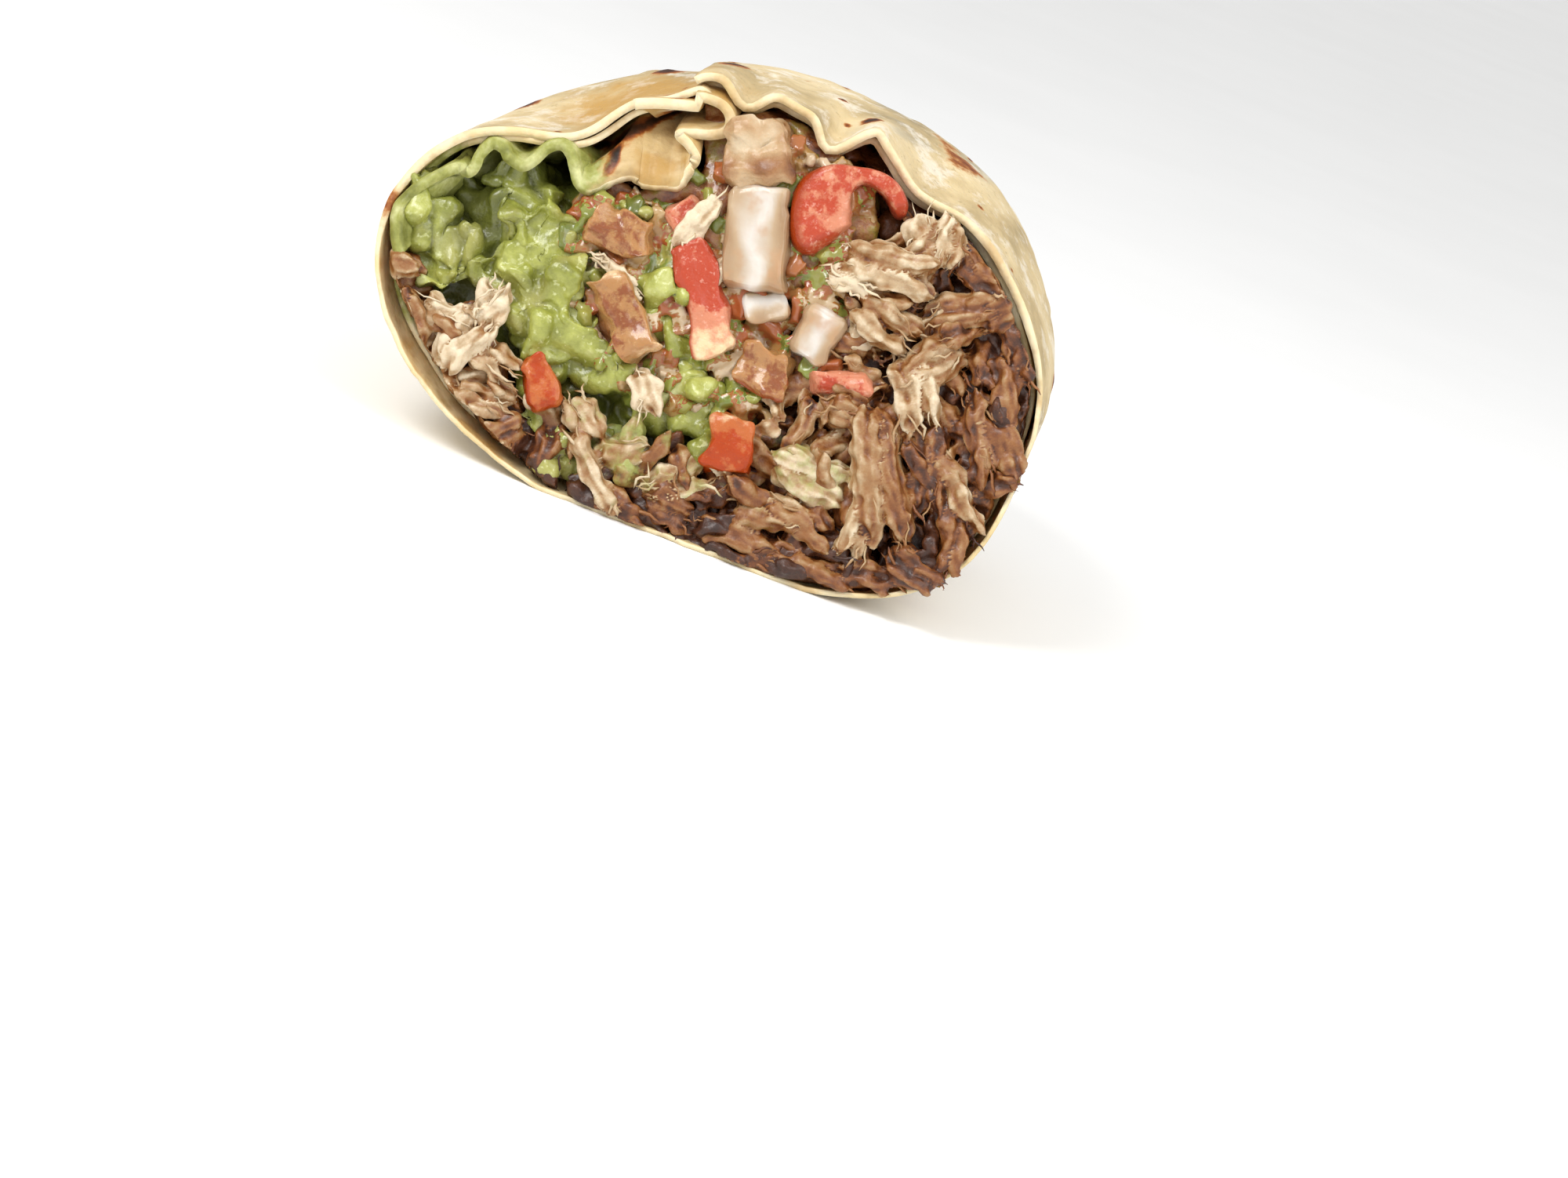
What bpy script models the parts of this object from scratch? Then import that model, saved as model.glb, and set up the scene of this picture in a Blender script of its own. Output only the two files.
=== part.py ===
"""Half a burrito lying on its flat side, cut on the bias.

A flour tortilla closed at one end holds guacamole, tomato salsa and shredded meat. At the cut its inner
end is folded back in ruffles. X runs across the cut face, Y from the cut to the closed end, Z up, and
the origin is on the floor under the middle of the half.
"""

import math

import bmesh
import bpy
from mathutils import Matrix, Vector, noise

MM = 0.001

# Driving dimensions, in metres.
WIDTH = 88 * MM  # widest part of the cut face
CROWN = 30.5 * MM  # middle of the cut face to the top of its rim
BELLY = 28.5 * MM  # middle of the cut face to the bottom of its rim
LENGTH = 69 * MM  # middle of the cut face to the closed end
WALL = 2.0 * MM  # tortilla, two layers pressed together
SHEET = 1.4 * MM  # one layer of tortilla
GAP = 1.3 * MM  # between the wall and the filling
CLEARANCE = 0.35 * MM  # between two pieces of filling
FLAT_SINK = 1.0 * MM  # how far the soft underside is pressed flat
ORIGIN_SETBACK = 30.7 * MM  # middle of the cut face to the origin, along Y

# The cut face leans back and turns a little to +X. The filling was laid level, then the half rolled over.
CUT_TILT = math.radians(14)
CUT_TURN = math.radians(4)
FILLING_ROLL = math.radians(21)
LAYOUT_OFFSET = 1.6 * MM  # the filling's own centre, right of the middle of the face

# Fullness of each quarter of the rim: 2 is an ellipse, lower is flatter, higher is squarer.
FULLNESS = {(1, 1): 1.9, (-1, 1): 1.75, (-1, -1): 2.05, (1, -1): 3.4}

# The outer layer ends in a lap along the top, and fades into the layer below it.
LAP_ANGLE = math.radians(107)
LAP_FADE = math.radians(75)
LAP_STEP = 1.6 * MM

# From the cut to the closed end the half narrows, then rounds over into a tucked, pleated end.
TAPER_WIDTH = 0.24
TAPER_HEIGHT = 0.12
TAPER_POWER = 2.1
ROUND_START = 7.0
ROUND_SHARP = 2.5
PLEATS = 5
PLEAT_STEP = 2.4 * MM
PLEAT_START = 0.7  # share of the length where the pleats begin
PLEAT_TWIST = 0.9

FACE_MIDDLE = Vector((0, -ORIGIN_SETBACK, (BELLY - FLAT_SINK) * math.cos(CUT_TILT)))
FACE_NORMAL = Vector(
    (
        math.sin(CUT_TURN) * math.cos(CUT_TILT),
        -math.cos(CUT_TURN) * math.cos(CUT_TILT),
        math.sin(CUT_TILT),
    )
)
FACE_RIGHT = Vector((math.cos(CUT_TURN), math.sin(CUT_TURN), 0))
FACE_UP = FACE_NORMAL.cross(FACE_RIGHT)

# The folded end of the tortilla, on the filling's axes: ruffles from the left wall, then an S to the top.
RUFFLE_START = -46 * MM
RUFFLE_END = -6.5 * MM
RUFFLE_LEVEL = 20.2 * MM
RUFFLE_SWING = 1.6 * MM
RUFFLE_LENGTH = 9.4 * MM
S_SWAY = 2.2 * MM
S_TOP = 38 * MM
FOLD_DEPTH = 28 * MM

# Between the fold and the outer wall, a slack layer sags down in one lobe.
LOBE_FROM = (-33 * MM, 23.4 * MM)
LOBE_TO = (-4 * MM, 31.5 * MM)
LOBE_SAG = 3.9 * MM
LOBE_DEPTH = 22 * MM

# The outer layer's own edge hangs below the top in one U.
HEM_START = 1 * MM
HEM_END = 23 * MM
HEM_LEVEL = 28.6 * MM
HEM_SLOPE = 0.14
HEM_PLACE = 13.4 * MM
HEM_DROP = 3.6 * MM
HEM_HALF_WIDTH = 3.2 * MM
HEM_DEPTH = 16 * MM

PAST_CUT = 8 * MM  # how far the tortilla is modelled past the cut before it is trimmed

# Filling at the cut: it sits a little behind the rim and is lumpy.
RECESS = 1.6 * MM
LUMP = 1.3 * MM
LUMP_SIZE = 9 * MM

# Regions of filling that run through the half, as lumpy ovals on the filling's axes.
# Centre (right, up), half sizes (long, across), turn in degrees; lengths in mm.
SALSA_REGION = ((0, 10), (20.5, 22), 0)
GUACAMOLE_REGION = ((-18, 7), (31, 18), -38)
REGION_WOBBLE = 0.05
REGION_NARROWING = 0.75  # size of each region at the closed end

# Pieces of filling that show at the cut. Centre (right, up) on the filling's axes, size (long, across,
# deep), turn of the long side in degrees, how far it stands proud, and what it is; lengths in mm.
CHUNKS = {
    "meat_cube": ((5.6, 22.2), (8.4, 7.8, 9.0), 4, 2.6, "meat"),
    "meat_slab": ((21.4, 7.0), (12.4, 6.2, 8.0), -10, 2.6, "meat"),
    "meat_strip": ((20.0, -20.4), (16.5, 7.0, 8.0), -84, 2.4, "meat"),
    "onion_wedge": ((4.6, 12.2), (10.8, 7.4, 9.0), 86, 2.4, "onion"),
    "onion_dice": ((12.4, -0.6), (7.0, 6.2, 7.0), 60, 1.8, "onion"),
    "onion_end": ((5.6, 3.0), (5.4, 4.0, 7.0), 10, 1.2, "onion"),
    "tomato_long": ((-2.4, 4.6), (15.0, 4.8, 8.0), -74, 2.2, "tomato"),
    "tomato_pale": ((-12.4, 1.8), (11.6, 5.8, 8.0), -63, 2.4, "tomato"),
    "tomato_chunk": ((-13.0, 12.2), (8.4, 6.0, 7.0), -24, 1.6, "tomato"),
    "tomato_bit": ((-23.0, -6.6), (7.6, 4.2, 6.0), -75, 1.8, "tomato"),
    "tomato_dice": ((1.2, -15.2), (8.2, 6.0, 8.0), 76, 2.8, "tomato"),
    "tomato_seeded": ((5.6, -5.6), (7.2, 6.0, 7.0), -20, 1.6, "tomato"),
    "tomato_slice": ((15.0, -6.8), (8.4, 3.0, 6.0), -2, 1.8, "tomato"),
    "tomato_corner": ((-4.6, 14.6), (4.2, 3.8, 6.0), 20, 1.2, "tomato"),
}

# The large tomato wedge bends round its seed hollow.
WEDGE_CENTRE = (17.1, 13.9)
WEDGE_RADII = (4.9, 5.6)
WEDGE_FROM = math.radians(218)
WEDGE_TO = math.radians(2)
WEDGE_HALF_WIDTHS = (3.1, 1.5)
WEDGE_HALF_DEPTH = 4.5
WEDGE_PROUD = 2.2

FINISHES = {
    "tortilla": ((0.60, 0.52, 0.37), 0.75),
    "meat": ((0.42, 0.29, 0.18), 0.5),
    "onion": ((0.85, 0.76, 0.62), 0.3),
    "tomato": ((0.66, 0.13, 0.06), 0.3),
    "guacamole": ((0.33, 0.40, 0.06), 0.4),
    "salsa": ((0.45, 0.30, 0.12), 0.4),
}


def clear_scene():
    for obj in list(bpy.data.objects):
        bpy.data.objects.remove(obj)


def collection(name):
    made = bpy.data.collections.new(name)
    bpy.context.scene.collection.children.link(made)
    return made


def material(name, finish):
    rgb, roughness = FINISHES[finish]
    made = bpy.data.materials.new(name)
    made.use_nodes = True
    shader = made.node_tree.nodes["Principled BSDF"]
    shader.inputs["Base Color"].default_value = (*rgb, 1)
    shader.inputs["Roughness"].default_value = roughness
    shader.inputs["Metallic"].default_value = 0
    return made


def add_object(name, bm, where, finish=None):
    """A named object from a bmesh, its faces turned outwards; without a finish it is only a cutter."""
    # A face with bent corners confuses a Boolean, so every face is a triangle.
    bmesh.ops.triangulate(bm, faces=bm.faces)
    bm.normal_update()
    bmesh.ops.recalc_face_normals(bm, faces=bm.faces)
    mesh = bpy.data.meshes.new(name)
    bm.to_mesh(mesh)
    bm.free()
    obj = bpy.data.objects.new(name, mesh)
    where.objects.link(obj)
    if finish:
        mesh.materials.append(material(name, finish))
    else:
        obj.hide_render = True
        obj.display_type = "WIRE"
    return obj


def boolean(obj, operation, other):
    cut = obj.modifiers.new(f"{operation.title()} {other.name}", "BOOLEAN")
    cut.operation = operation
    cut.solver = "EXACT"
    if isinstance(other, bpy.types.Collection):
        cut.operand_type = "COLLECTION"
        cut.collection = other
    else:
        cut.object = other


def solidify(obj, thickness, offset):
    wall = obj.modifiers.new("Thickness", "SOLIDIFY")
    wall.thickness = thickness
    wall.offset = offset
    wall.use_even_offset = True


def filling_axes(turn=0.0):
    """Right, up and outward directions on the cut face, turned with the filling."""
    roll = FILLING_ROLL + turn
    right = FACE_RIGHT * math.cos(roll) + FACE_UP * math.sin(roll)
    return right, FACE_NORMAL.cross(right), FACE_NORMAL


def filling_point(right, up, proud=0.0):
    """A point of the cut face on the filling's axes."""
    axis_right, axis_up, normal = filling_axes()
    return FACE_MIDDLE + FACE_RIGHT * LAYOUT_OFFSET + axis_right * right + axis_up * up + normal * proud


def cut_setback(x, z):
    """How far behind the middle of the face the cut plane lies at a place across the half."""
    return x * math.tan(CUT_TURN) + (z - FACE_MIDDLE.z) * math.tan(CUT_TILT) / math.cos(CUT_TURN)


def rim(angle, inset):
    """The rim of the cut, a superellipse with its own fullness in each quarter, and the outer lap."""
    cos, sin = math.cos(angle), math.sin(angle)
    power = FULLNESS[(1 if cos >= 0 else -1, 1 if sin >= 0 else -1)]
    reach = (abs(cos) ** power + abs(sin) ** power) ** (-1 / power)
    past_lap = (LAP_ANGLE - angle) % (2 * math.pi)
    lap = LAP_STEP * max(0.0, 1 - past_lap / LAP_FADE)
    high = CROWN if sin >= 0 else BELLY
    return (WIDTH / 2 + lap - inset) * reach * cos, (high + lap - inset) * reach * sin


def pleat(angle, along):
    """Overlapping pleats of the tucked end, each rising to a step and twisting towards the middle."""
    if along <= PLEAT_START:
        return 0.0
    grown = (along - PLEAT_START) / (1 - PLEAT_START)
    rise = (angle / (2 * math.pi) * PLEATS + PLEAT_TWIST * grown) % 1 - 0.5
    return PLEAT_STEP * rise * math.sin(math.pi * grown)


def body_point(angle, along, inset):
    """A point on the half: along is 0 at the cut and 1 at the closed end, and below 0 it is past the cut."""
    x, up = rim(angle, inset)
    inside = max(0.0, along)
    closing = max(0.0, 1 - inside**ROUND_START) ** (1 / ROUND_SHARP)
    narrow = (1 - TAPER_WIDTH * inside**TAPER_POWER) * closing
    low = (1 - TAPER_HEIGHT * inside**TAPER_POWER) * math.cos(CUT_TILT)
    z = (BELLY - FLAT_SINK + up * closing) * low
    start = cut_setback(x, z)
    back = LENGTH - inset + pleat(angle, inside)
    return Vector((x * narrow, start + (back - start) * along - ORIGIN_SETBACK, max(z, inset)))


def wrapped(name, place, around, rings, where, finish=None):
    """A sheet rolled up into a closed ring: place gives a point from its shares round and along."""
    bm = bmesh.new()
    bmesh.ops.create_grid(bm, x_segments=around, y_segments=rings, size=0.5)
    for vert in bm.verts:
        vert.co = place((vert.co.x + 0.5) * 2 * math.pi, vert.co.y + 0.5)
    bmesh.ops.remove_doubles(bm, verts=bm.verts, dist=0.00002)
    bmesh.ops.dissolve_degenerate(bm, edges=bm.edges, dist=0.00002)
    return add_object(name, bm, where, finish)


def spread(share, first):
    """Rings stand closer together towards the closed end; the first one is at the share given."""
    return first + (1 - first) * math.sin(share * math.pi / 2) ** 1.2


def half_solid(name, inset, where, finish=None, lumpy=False, cap_share=0.22):
    """The inside of the half as one closed solid, its front either past the cut or lumpy filling."""
    first = (RECESS if lumpy else -PAST_CUT) / LENGTH

    def place(angle, share):
        if share > cap_share:
            return body_point(angle, spread((share - cap_share) / (1 - cap_share), first), inset)
        edge = body_point(angle, first, inset)
        middle = FACE_MIDDLE + Vector((0, first * LENGTH, 0))
        point = middle.lerp(edge, (share / cap_share) ** 0.8)
        if lumpy:
            swell = noise.noise(point / LUMP_SIZE) + 0.4
            point += FACE_NORMAL * (2 * LUMP * swell * (1 - (share / cap_share) ** 4))
        return point

    return wrapped(name, place, 36, 13, where, finish)


def ruffle(right):
    """Height of the ruffled fold at a place from the left wall to the S."""
    wave = math.sin(2 * math.pi * (right - RUFFLE_START) / RUFFLE_LENGTH)
    return RUFFLE_LEVEL + RUFFLE_SWING * wave


def fold_path(share):
    """The folded end: ruffles to the right, then an S upwards through the top."""
    ruffled = 0.7
    if share <= ruffled:
        right = RUFFLE_START + (RUFFLE_END - RUFFLE_START) * share / ruffled
        return right, ruffle(right)
    rise = (share - ruffled) / (1 - ruffled)
    low = ruffle(RUFFLE_END)
    sway = S_SWAY * math.sin(2 * math.pi * rise) * (1 - rise)
    return RUFFLE_END + sway, low + (S_TOP - low) * rise


def lobe_path(share):
    """The slack layer: a straight line that sags most near its right end."""
    (left, low), (right, high) = LOBE_FROM, LOBE_TO
    sag = LOBE_SAG * math.sin(math.pi * share**1.25)
    return left + (right - left) * share, low + (high - low) * share - sag


def hem_height(right):
    """Height of the outer layer's edge, with its one U."""
    across = (right - HEM_PLACE) / HEM_HALF_WIDTH
    return HEM_LEVEL - HEM_SLOPE * abs(right - 8 * MM) - HEM_DROP * math.exp(-across * across)


def hem_path(share):
    right = HEM_START + (HEM_END - HEM_START) * share
    return right, hem_height(right)


def folded_sheet(name, path, steps, depth, lift, where):
    """One layer of tortilla that follows a path on the cut face and runs back into the half."""
    bm = bmesh.new()
    bmesh.ops.create_grid(bm, x_segments=steps, y_segments=2, size=0.5)
    for vert in bm.verts:
        share, back = vert.co.x + 0.5, vert.co.y + 0.5
        right, up = path(share)
        vert.co = filling_point(right, up) + Vector((0, depth * (back * 1.15 - 0.15), lift * back))
    sheet = add_object(name, bm, where)
    solidify(sheet, SHEET, 0)
    return sheet


def space_above(name, height, start, end, steps, depth, where):
    """The room above a folded layer, for the filling to stay clear of."""
    bm = bmesh.new()
    bmesh.ops.create_grid(bm, x_segments=steps, y_segments=1, size=0.5)
    for vert in bm.verts:
        right = start + (end - start) * (vert.co.x + 0.5)
        ahead = Vector((0, depth if vert.co.y > 0 else -12 * MM, 0))
        vert.co = filling_point(right, height(right) - SHEET / 2 - CLEARANCE) + ahead
    risen = bmesh.ops.extrude_face_region(bm, geom=bm.faces[:])
    top = [item for item in risen["geom"] if isinstance(item, bmesh.types.BMVert)]
    bmesh.ops.translate(bm, verts=top, vec=filling_axes()[1] * 24 * MM)
    return add_object(name, bm, where)


def region(name, shape, grow, where):
    """A tapering prism through the half, with a lumpy oval section on the filling's axes."""
    (right, up), (long, across), turn = shape
    cos, sin = math.cos(math.radians(turn)), math.sin(math.radians(turn))
    bm = bmesh.new()
    bmesh.ops.create_circle(bm, cap_ends=True, segments=30, radius=1)
    for vert in bm.verts:
        angle = math.atan2(vert.co.y, vert.co.x)
        wobble = 1 + REGION_WOBBLE * math.sin(5 * angle)
        a = (long * MM + grow) * math.cos(angle) * wobble
        b = (across * MM + grow) * math.sin(angle) * wobble
        vert.co = filling_point(right * MM + a * cos - b * sin, up * MM + a * sin + b * cos)
        vert.co.y -= 24 * MM
    pushed = bmesh.ops.extrude_face_region(bm, geom=bm.faces[:])
    back = [item for item in pushed["geom"] if isinstance(item, bmesh.types.BMVert)]
    shrink = Matrix.Diagonal((REGION_NARROWING, 1, REGION_NARROWING, 1))
    bmesh.ops.transform(bm, verts=back, matrix=shrink, space=Matrix.Translation(-FACE_MIDDLE))
    bmesh.ops.translate(bm, verts=back, vec=(0, LENGTH + 44 * MM, 0))
    return add_object(name, bm, where)


def rounded(x, power=4.0):
    """Draws a cube's corners in, towards a soft box."""
    length = (abs(x.x) ** power + abs(x.y) ** power + abs(x.z) ** power) ** (1 / power)
    return x / length


def chunk(name, grow, where, finish=None):
    """A diced piece: a soft box, a little uneven, with its long side turned on the cut face."""
    (right, up), size, turn, proud, _ = CHUNKS[name]
    long, across, deep = (side * MM / 2 + grow for side in size)
    axes = filling_axes(math.radians(turn))
    centre = filling_point(right * MM, up * MM, proud * MM - size[2] * MM / 2)
    bm = bmesh.new()
    bmesh.ops.create_cube(bm, size=2)
    bmesh.ops.subdivide_edges(bm, edges=bm.edges[:], cuts=2, use_grid_fill=True)
    for vert in bm.verts:
        soft = rounded(vert.co)
        uneven = 1 + 0.10 * (noise.noise(soft * 1.3 + Vector((right, up, turn))) - 0.3)
        vert.co = centre + sum(
            (axis * half * part * uneven for axis, half, part in zip(axes, (long, across, deep), soft)),
            Vector(),
        )
    return add_object(name if finish else name + "_pocket", bm, where, finish)


def wedge(name, grow, where, finish=None):
    """The large tomato wedge, a thick slice bent round its seed hollow."""

    def place(angle, share):
        # The ends close over in a fifth of a circle each.
        end = min(1.0, min(share, 1 - share) / 0.12)
        close = math.sqrt(max(0.0, 1 - (1 - end) ** 2))
        bend = WEDGE_FROM + (WEDGE_TO - WEDGE_FROM) * share
        half = WEDGE_HALF_WIDTHS[0] + (WEDGE_HALF_WIDTHS[1] - WEDGE_HALF_WIDTHS[0]) * share
        soft = rounded(Vector((math.cos(angle), math.sin(angle), 0)), 3.0)
        side = (half * MM + grow) * soft.x * close
        deep = (WEDGE_HALF_DEPTH * MM + grow) * soft.y * close
        right = WEDGE_CENTRE[0] * MM + (WEDGE_RADII[0] * MM + side) * math.cos(bend)
        up = WEDGE_CENTRE[1] * MM + (WEDGE_RADII[1] * MM + side) * math.sin(bend)
        return filling_point(right, up, (WEDGE_PROUD - WEDGE_HALF_DEPTH) * MM + deep)

    return wrapped(name, place, 10, 12, where, finish)


def make_tortilla(food, cutters):
    """The tortilla: one wall round the half, with its folded and hemmed layers joined on."""
    first = -PAST_CUT / LENGTH
    shell = wrapped(
        "tortilla", lambda angle, share: body_point(angle, spread(share, first), 0), 52, 11, food, "tortilla"
    )
    solidify(shell, WALL, -1)
    wall_middle = half_solid("wall_middle", WALL / 2, cutters)
    fold = folded_sheet("fold", fold_path, 44, FOLD_DEPTH, 3 * MM, cutters)
    lobe = folded_sheet("lobe", lobe_path, 16, LOBE_DEPTH, MM, cutters)
    hem = folded_sheet("hem", hem_path, 18, HEM_DEPTH, 2 * MM, cutters)
    for sheet in (fold, lobe, hem):
        boolean(sheet, "INTERSECT", wall_middle)
        boolean(shell, "UNION", sheet)
    knife = bmesh.new()
    turned = Matrix((FACE_RIGHT, FACE_UP, FACE_NORMAL)).transposed().to_4x4()
    bmesh.ops.create_cube(
        knife, size=0.2, matrix=Matrix.Translation(FACE_MIDDLE + FACE_NORMAL * 0.1) @ turned
    )
    boolean(shell, "DIFFERENCE", add_object("knife", knife, cutters))
    return shell


def make_pieces(food, pockets):
    """The diced pieces at the cut, and the pocket that each sits in."""
    for name, (*_, finish) in CHUNKS.items():
        chunk(name, 0, food, finish)
        chunk(name, CLEARANCE, pockets)
    wedge("tomato_wedge", 0, food, "tomato")
    wedge("tomato_wedge_pocket", CLEARANCE, pockets)


def make_fillings(food, cutters, pockets):
    """Salsa in the middle, guacamole beside it, and shredded meat round both."""
    inset = WALL + GAP
    fold_room = space_above(
        "fold_room",
        ruffle,
        RUFFLE_START,
        RUFFLE_END + 4 * MM,
        30,
        FOLD_DEPTH + MM,
        cutters,
    )
    hem_room = space_above("hem_room", hem_height, HEM_START, HEM_END, 16, HEM_DEPTH + MM, cutters)
    salsa_region = region("salsa_region", SALSA_REGION, 0, cutters)
    salsa_clear = region("salsa_clear", SALSA_REGION, CLEARANCE, cutters)
    guacamole_region = region("guacamole_region", GUACAMOLE_REGION, 0, cutters)
    guacamole_clear = region("guacamole_clear", GUACAMOLE_REGION, CLEARANCE, cutters)
    salsa = half_solid("pico_de_gallo", inset, food, "salsa", lumpy=True)
    boolean(salsa, "INTERSECT", salsa_region)
    guacamole = half_solid("guacamole", inset, food, "guacamole", lumpy=True)
    boolean(guacamole, "INTERSECT", guacamole_region)
    boolean(guacamole, "DIFFERENCE", salsa_clear)
    meat = half_solid("shredded_meat", inset, food, "meat", lumpy=True)
    # No meat was laid along the upper left, behind the fold.
    meat_top = space_above("meat_top", lambda _: RUFFLE_LEVEL, RUFFLE_START, 0, 1, LENGTH + 20 * MM, cutters)
    boolean(meat, "DIFFERENCE", meat_top)
    boolean(meat, "DIFFERENCE", salsa_clear)
    boolean(meat, "DIFFERENCE", guacamole_clear)
    for filling in (salsa, guacamole, meat):
        boolean(filling, "DIFFERENCE", fold_room)
        boolean(filling, "DIFFERENCE", hem_room)
        boolean(filling, "DIFFERENCE", pockets)


def main():
    clear_scene()
    food = collection("burrito_half")
    cutters = collection("cutters")
    pockets = collection("pockets")
    make_tortilla(food, cutters)
    make_pieces(food, pockets)
    make_fillings(food, cutters, pockets)


main()
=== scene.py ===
"""The looks of a burrito half, built as an add-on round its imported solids.

Lengths in the tables are millimetres and are turned to metres where they are used. Points of the cut face
are given on the filling's own axes: right, up, and proud of the face.
"""

import math
import random

import bmesh
import bpy
from mathutils import Matrix, Vector, kdtree, noise


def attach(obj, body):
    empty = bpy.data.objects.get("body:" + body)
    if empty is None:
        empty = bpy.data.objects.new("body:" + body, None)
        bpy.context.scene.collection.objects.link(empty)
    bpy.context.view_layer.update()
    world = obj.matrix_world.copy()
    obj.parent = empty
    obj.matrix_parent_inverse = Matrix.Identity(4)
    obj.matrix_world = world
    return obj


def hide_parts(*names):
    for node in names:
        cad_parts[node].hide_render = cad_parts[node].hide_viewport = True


bl_info = {
    "name": "Burrito Half",
    "version": (1, 0, 0),
    "blender": (4, 5, 0),
    "location": "View3D > Sidebar > Burrito",
    "description": "Models a cut burrito half: tortilla, guacamole, salsa and shredded meat",
    "category": "Add Mesh",
}

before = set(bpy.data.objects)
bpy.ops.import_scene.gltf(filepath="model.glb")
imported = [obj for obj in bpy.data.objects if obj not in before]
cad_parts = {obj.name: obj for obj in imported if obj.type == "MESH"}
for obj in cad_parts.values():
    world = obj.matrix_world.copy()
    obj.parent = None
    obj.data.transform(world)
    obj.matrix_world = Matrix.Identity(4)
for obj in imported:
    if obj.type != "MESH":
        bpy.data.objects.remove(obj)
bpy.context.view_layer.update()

MM = 0.001

# ------------------------------------------------ the half's own sizes, as its solids have them
WIDTH = 88 * MM
CROWN = 30.5 * MM
BELLY = 28.5 * MM
LENGTH = 69 * MM
FLAT_SINK = 1.0 * MM
ORIGIN_SETBACK = 30.7 * MM
CUT_TILT = math.radians(14)
CUT_TURN = math.radians(4)
FILLING_ROLL = math.radians(21)
LAYOUT_OFFSET = 1.6 * MM
FULLNESS = {(1, 1): 1.9, (-1, 1): 1.75, (-1, -1): 2.05, (1, -1): 3.4}
LAP_ANGLE = math.radians(107)
LAP_FADE = math.radians(75)
LAP_STEP = 1.6 * MM
TAPER_WIDTH = 0.24
TAPER_HEIGHT = 0.12
TAPER_POWER = 2.1
ROUND_START = 7.0
ROUND_SHARP = 2.5
PLEATS = 5
PLEAT_STEP = 2.4 * MM
PLEAT_START = 0.7
PLEAT_TWIST = 0.9
PLEAT_FALL = 0.08
TUCKED_FROM = -36.0
TUCK_SMOOTHING = 1
CRUMB_VERTS = 60
# Verts closer than this are joined.
WELD = 0.01 * MM
# How finely each filling's skin is rebuilt when its pieces are melted together.
PASTE_VOXEL = 0.4 * MM
PULP_VOXEL = 0.7 * MM
BITS_VOXEL = 0.3 * MM
MEAT_CORE_VOXEL = 1.0 * MM
DEEP_SHREDS_VOXEL = 0.4 * MM
FRONT_SHREDS_VOXEL = 0.3 * MM
TORN_PIECES_VOXEL = 0.26 * MM
FACE_MIDDLE = Vector((0, -ORIGIN_SETBACK, (BELLY - FLAT_SINK) * math.cos(CUT_TILT)))
FACE_NORMAL = Vector(
    (
        math.sin(CUT_TURN) * math.cos(CUT_TILT),
        -math.cos(CUT_TURN) * math.cos(CUT_TILT),
        math.sin(CUT_TILT),
    )
)
FACE_RIGHT = Vector((math.cos(CUT_TURN), math.sin(CUT_TURN), 0))
FACE_UP = FACE_NORMAL.cross(FACE_RIGHT)

# ---------------------------------------------------------------- the tortilla
# Where the rim sags below the round of the half: degrees round it, half width in degrees, depth and
# reach in mm.
SAGS = (
    (134, 15, 5.6, 15),
    (113, 5, 1.2, 10),
    (98.5, 3.0, 3.2, 9),
    (89, 6, 1.4, 10),
    (82, 3.3, 4.2, 9),
    (76.5, 2.6, -1.0, 8),
    (64, 8, 2.4, 13),
)
# Griddle spots: degrees round the half, share of the length, radius in mm.
HAND_SPOTS = (
    (62, 0.27, 3.4),
    (66, 0.33, 2.8),
    (49, 0.20, 1.2),
    (182, 0.03, 2.8),
    (178, 0.09, 2.2),
    (118, 0.30, 2.4),
    (33, 0.42, 2.0),
    (12, 0.25, 1.6),
    (150, 0.45, 3.0),
    (90, 0.62, 3.2),
    (60, 0.75, 2.6),
    (120, 0.80, 2.2),
)
# The ruffled cut edge of the folded layer, from the left wall to its curl at the top.
FOLD_EDGE = (
    (-41.2, 11.2), (-41.6, 16.0), (-41.2, 20.2), (-39.0, 22.3), (-36.4, 22.7), (-34.2, 21.6),
    (-32.6, 20.0), (-31.5, 20.6), (-30.8, 22.2), (-29.3, 23.5), (-27.9, 23.1), (-27.0, 21.7),
    (-25.4, 20.8), (-23.8, 21.6), (-22.2, 23.0), (-20.4, 23.4), (-19.2, 22.2), (-18.7, 20.2),
    (-18.2, 18.4), (-17.0, 17.4), (-15.3, 17.9), (-13.4, 18.9), (-11.4, 19.3), (-10.0, 18.3),
    (-7.8, 18.0), (-5.4, 17.9), (-4.0, 20.2), (-3.3, 21.9), (-4.2, 23.6), (-5.3, 24.8), (-3.6, 25.0),
    (-1.2, 24.8), (0.6, 25.2), (1.2, 26.8), (0.2, 28.5), (-2.0, 29.5), (-6.0, 30.6), (-11.0, 31.0),
)

# ---------------------------------------------------------------- the fillings
SALSA_REGION = ((0, 10), (20.5, 22), 0)
GUACAMOLE_REGION = ((-18, 7), (31, 18), -38)
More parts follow.
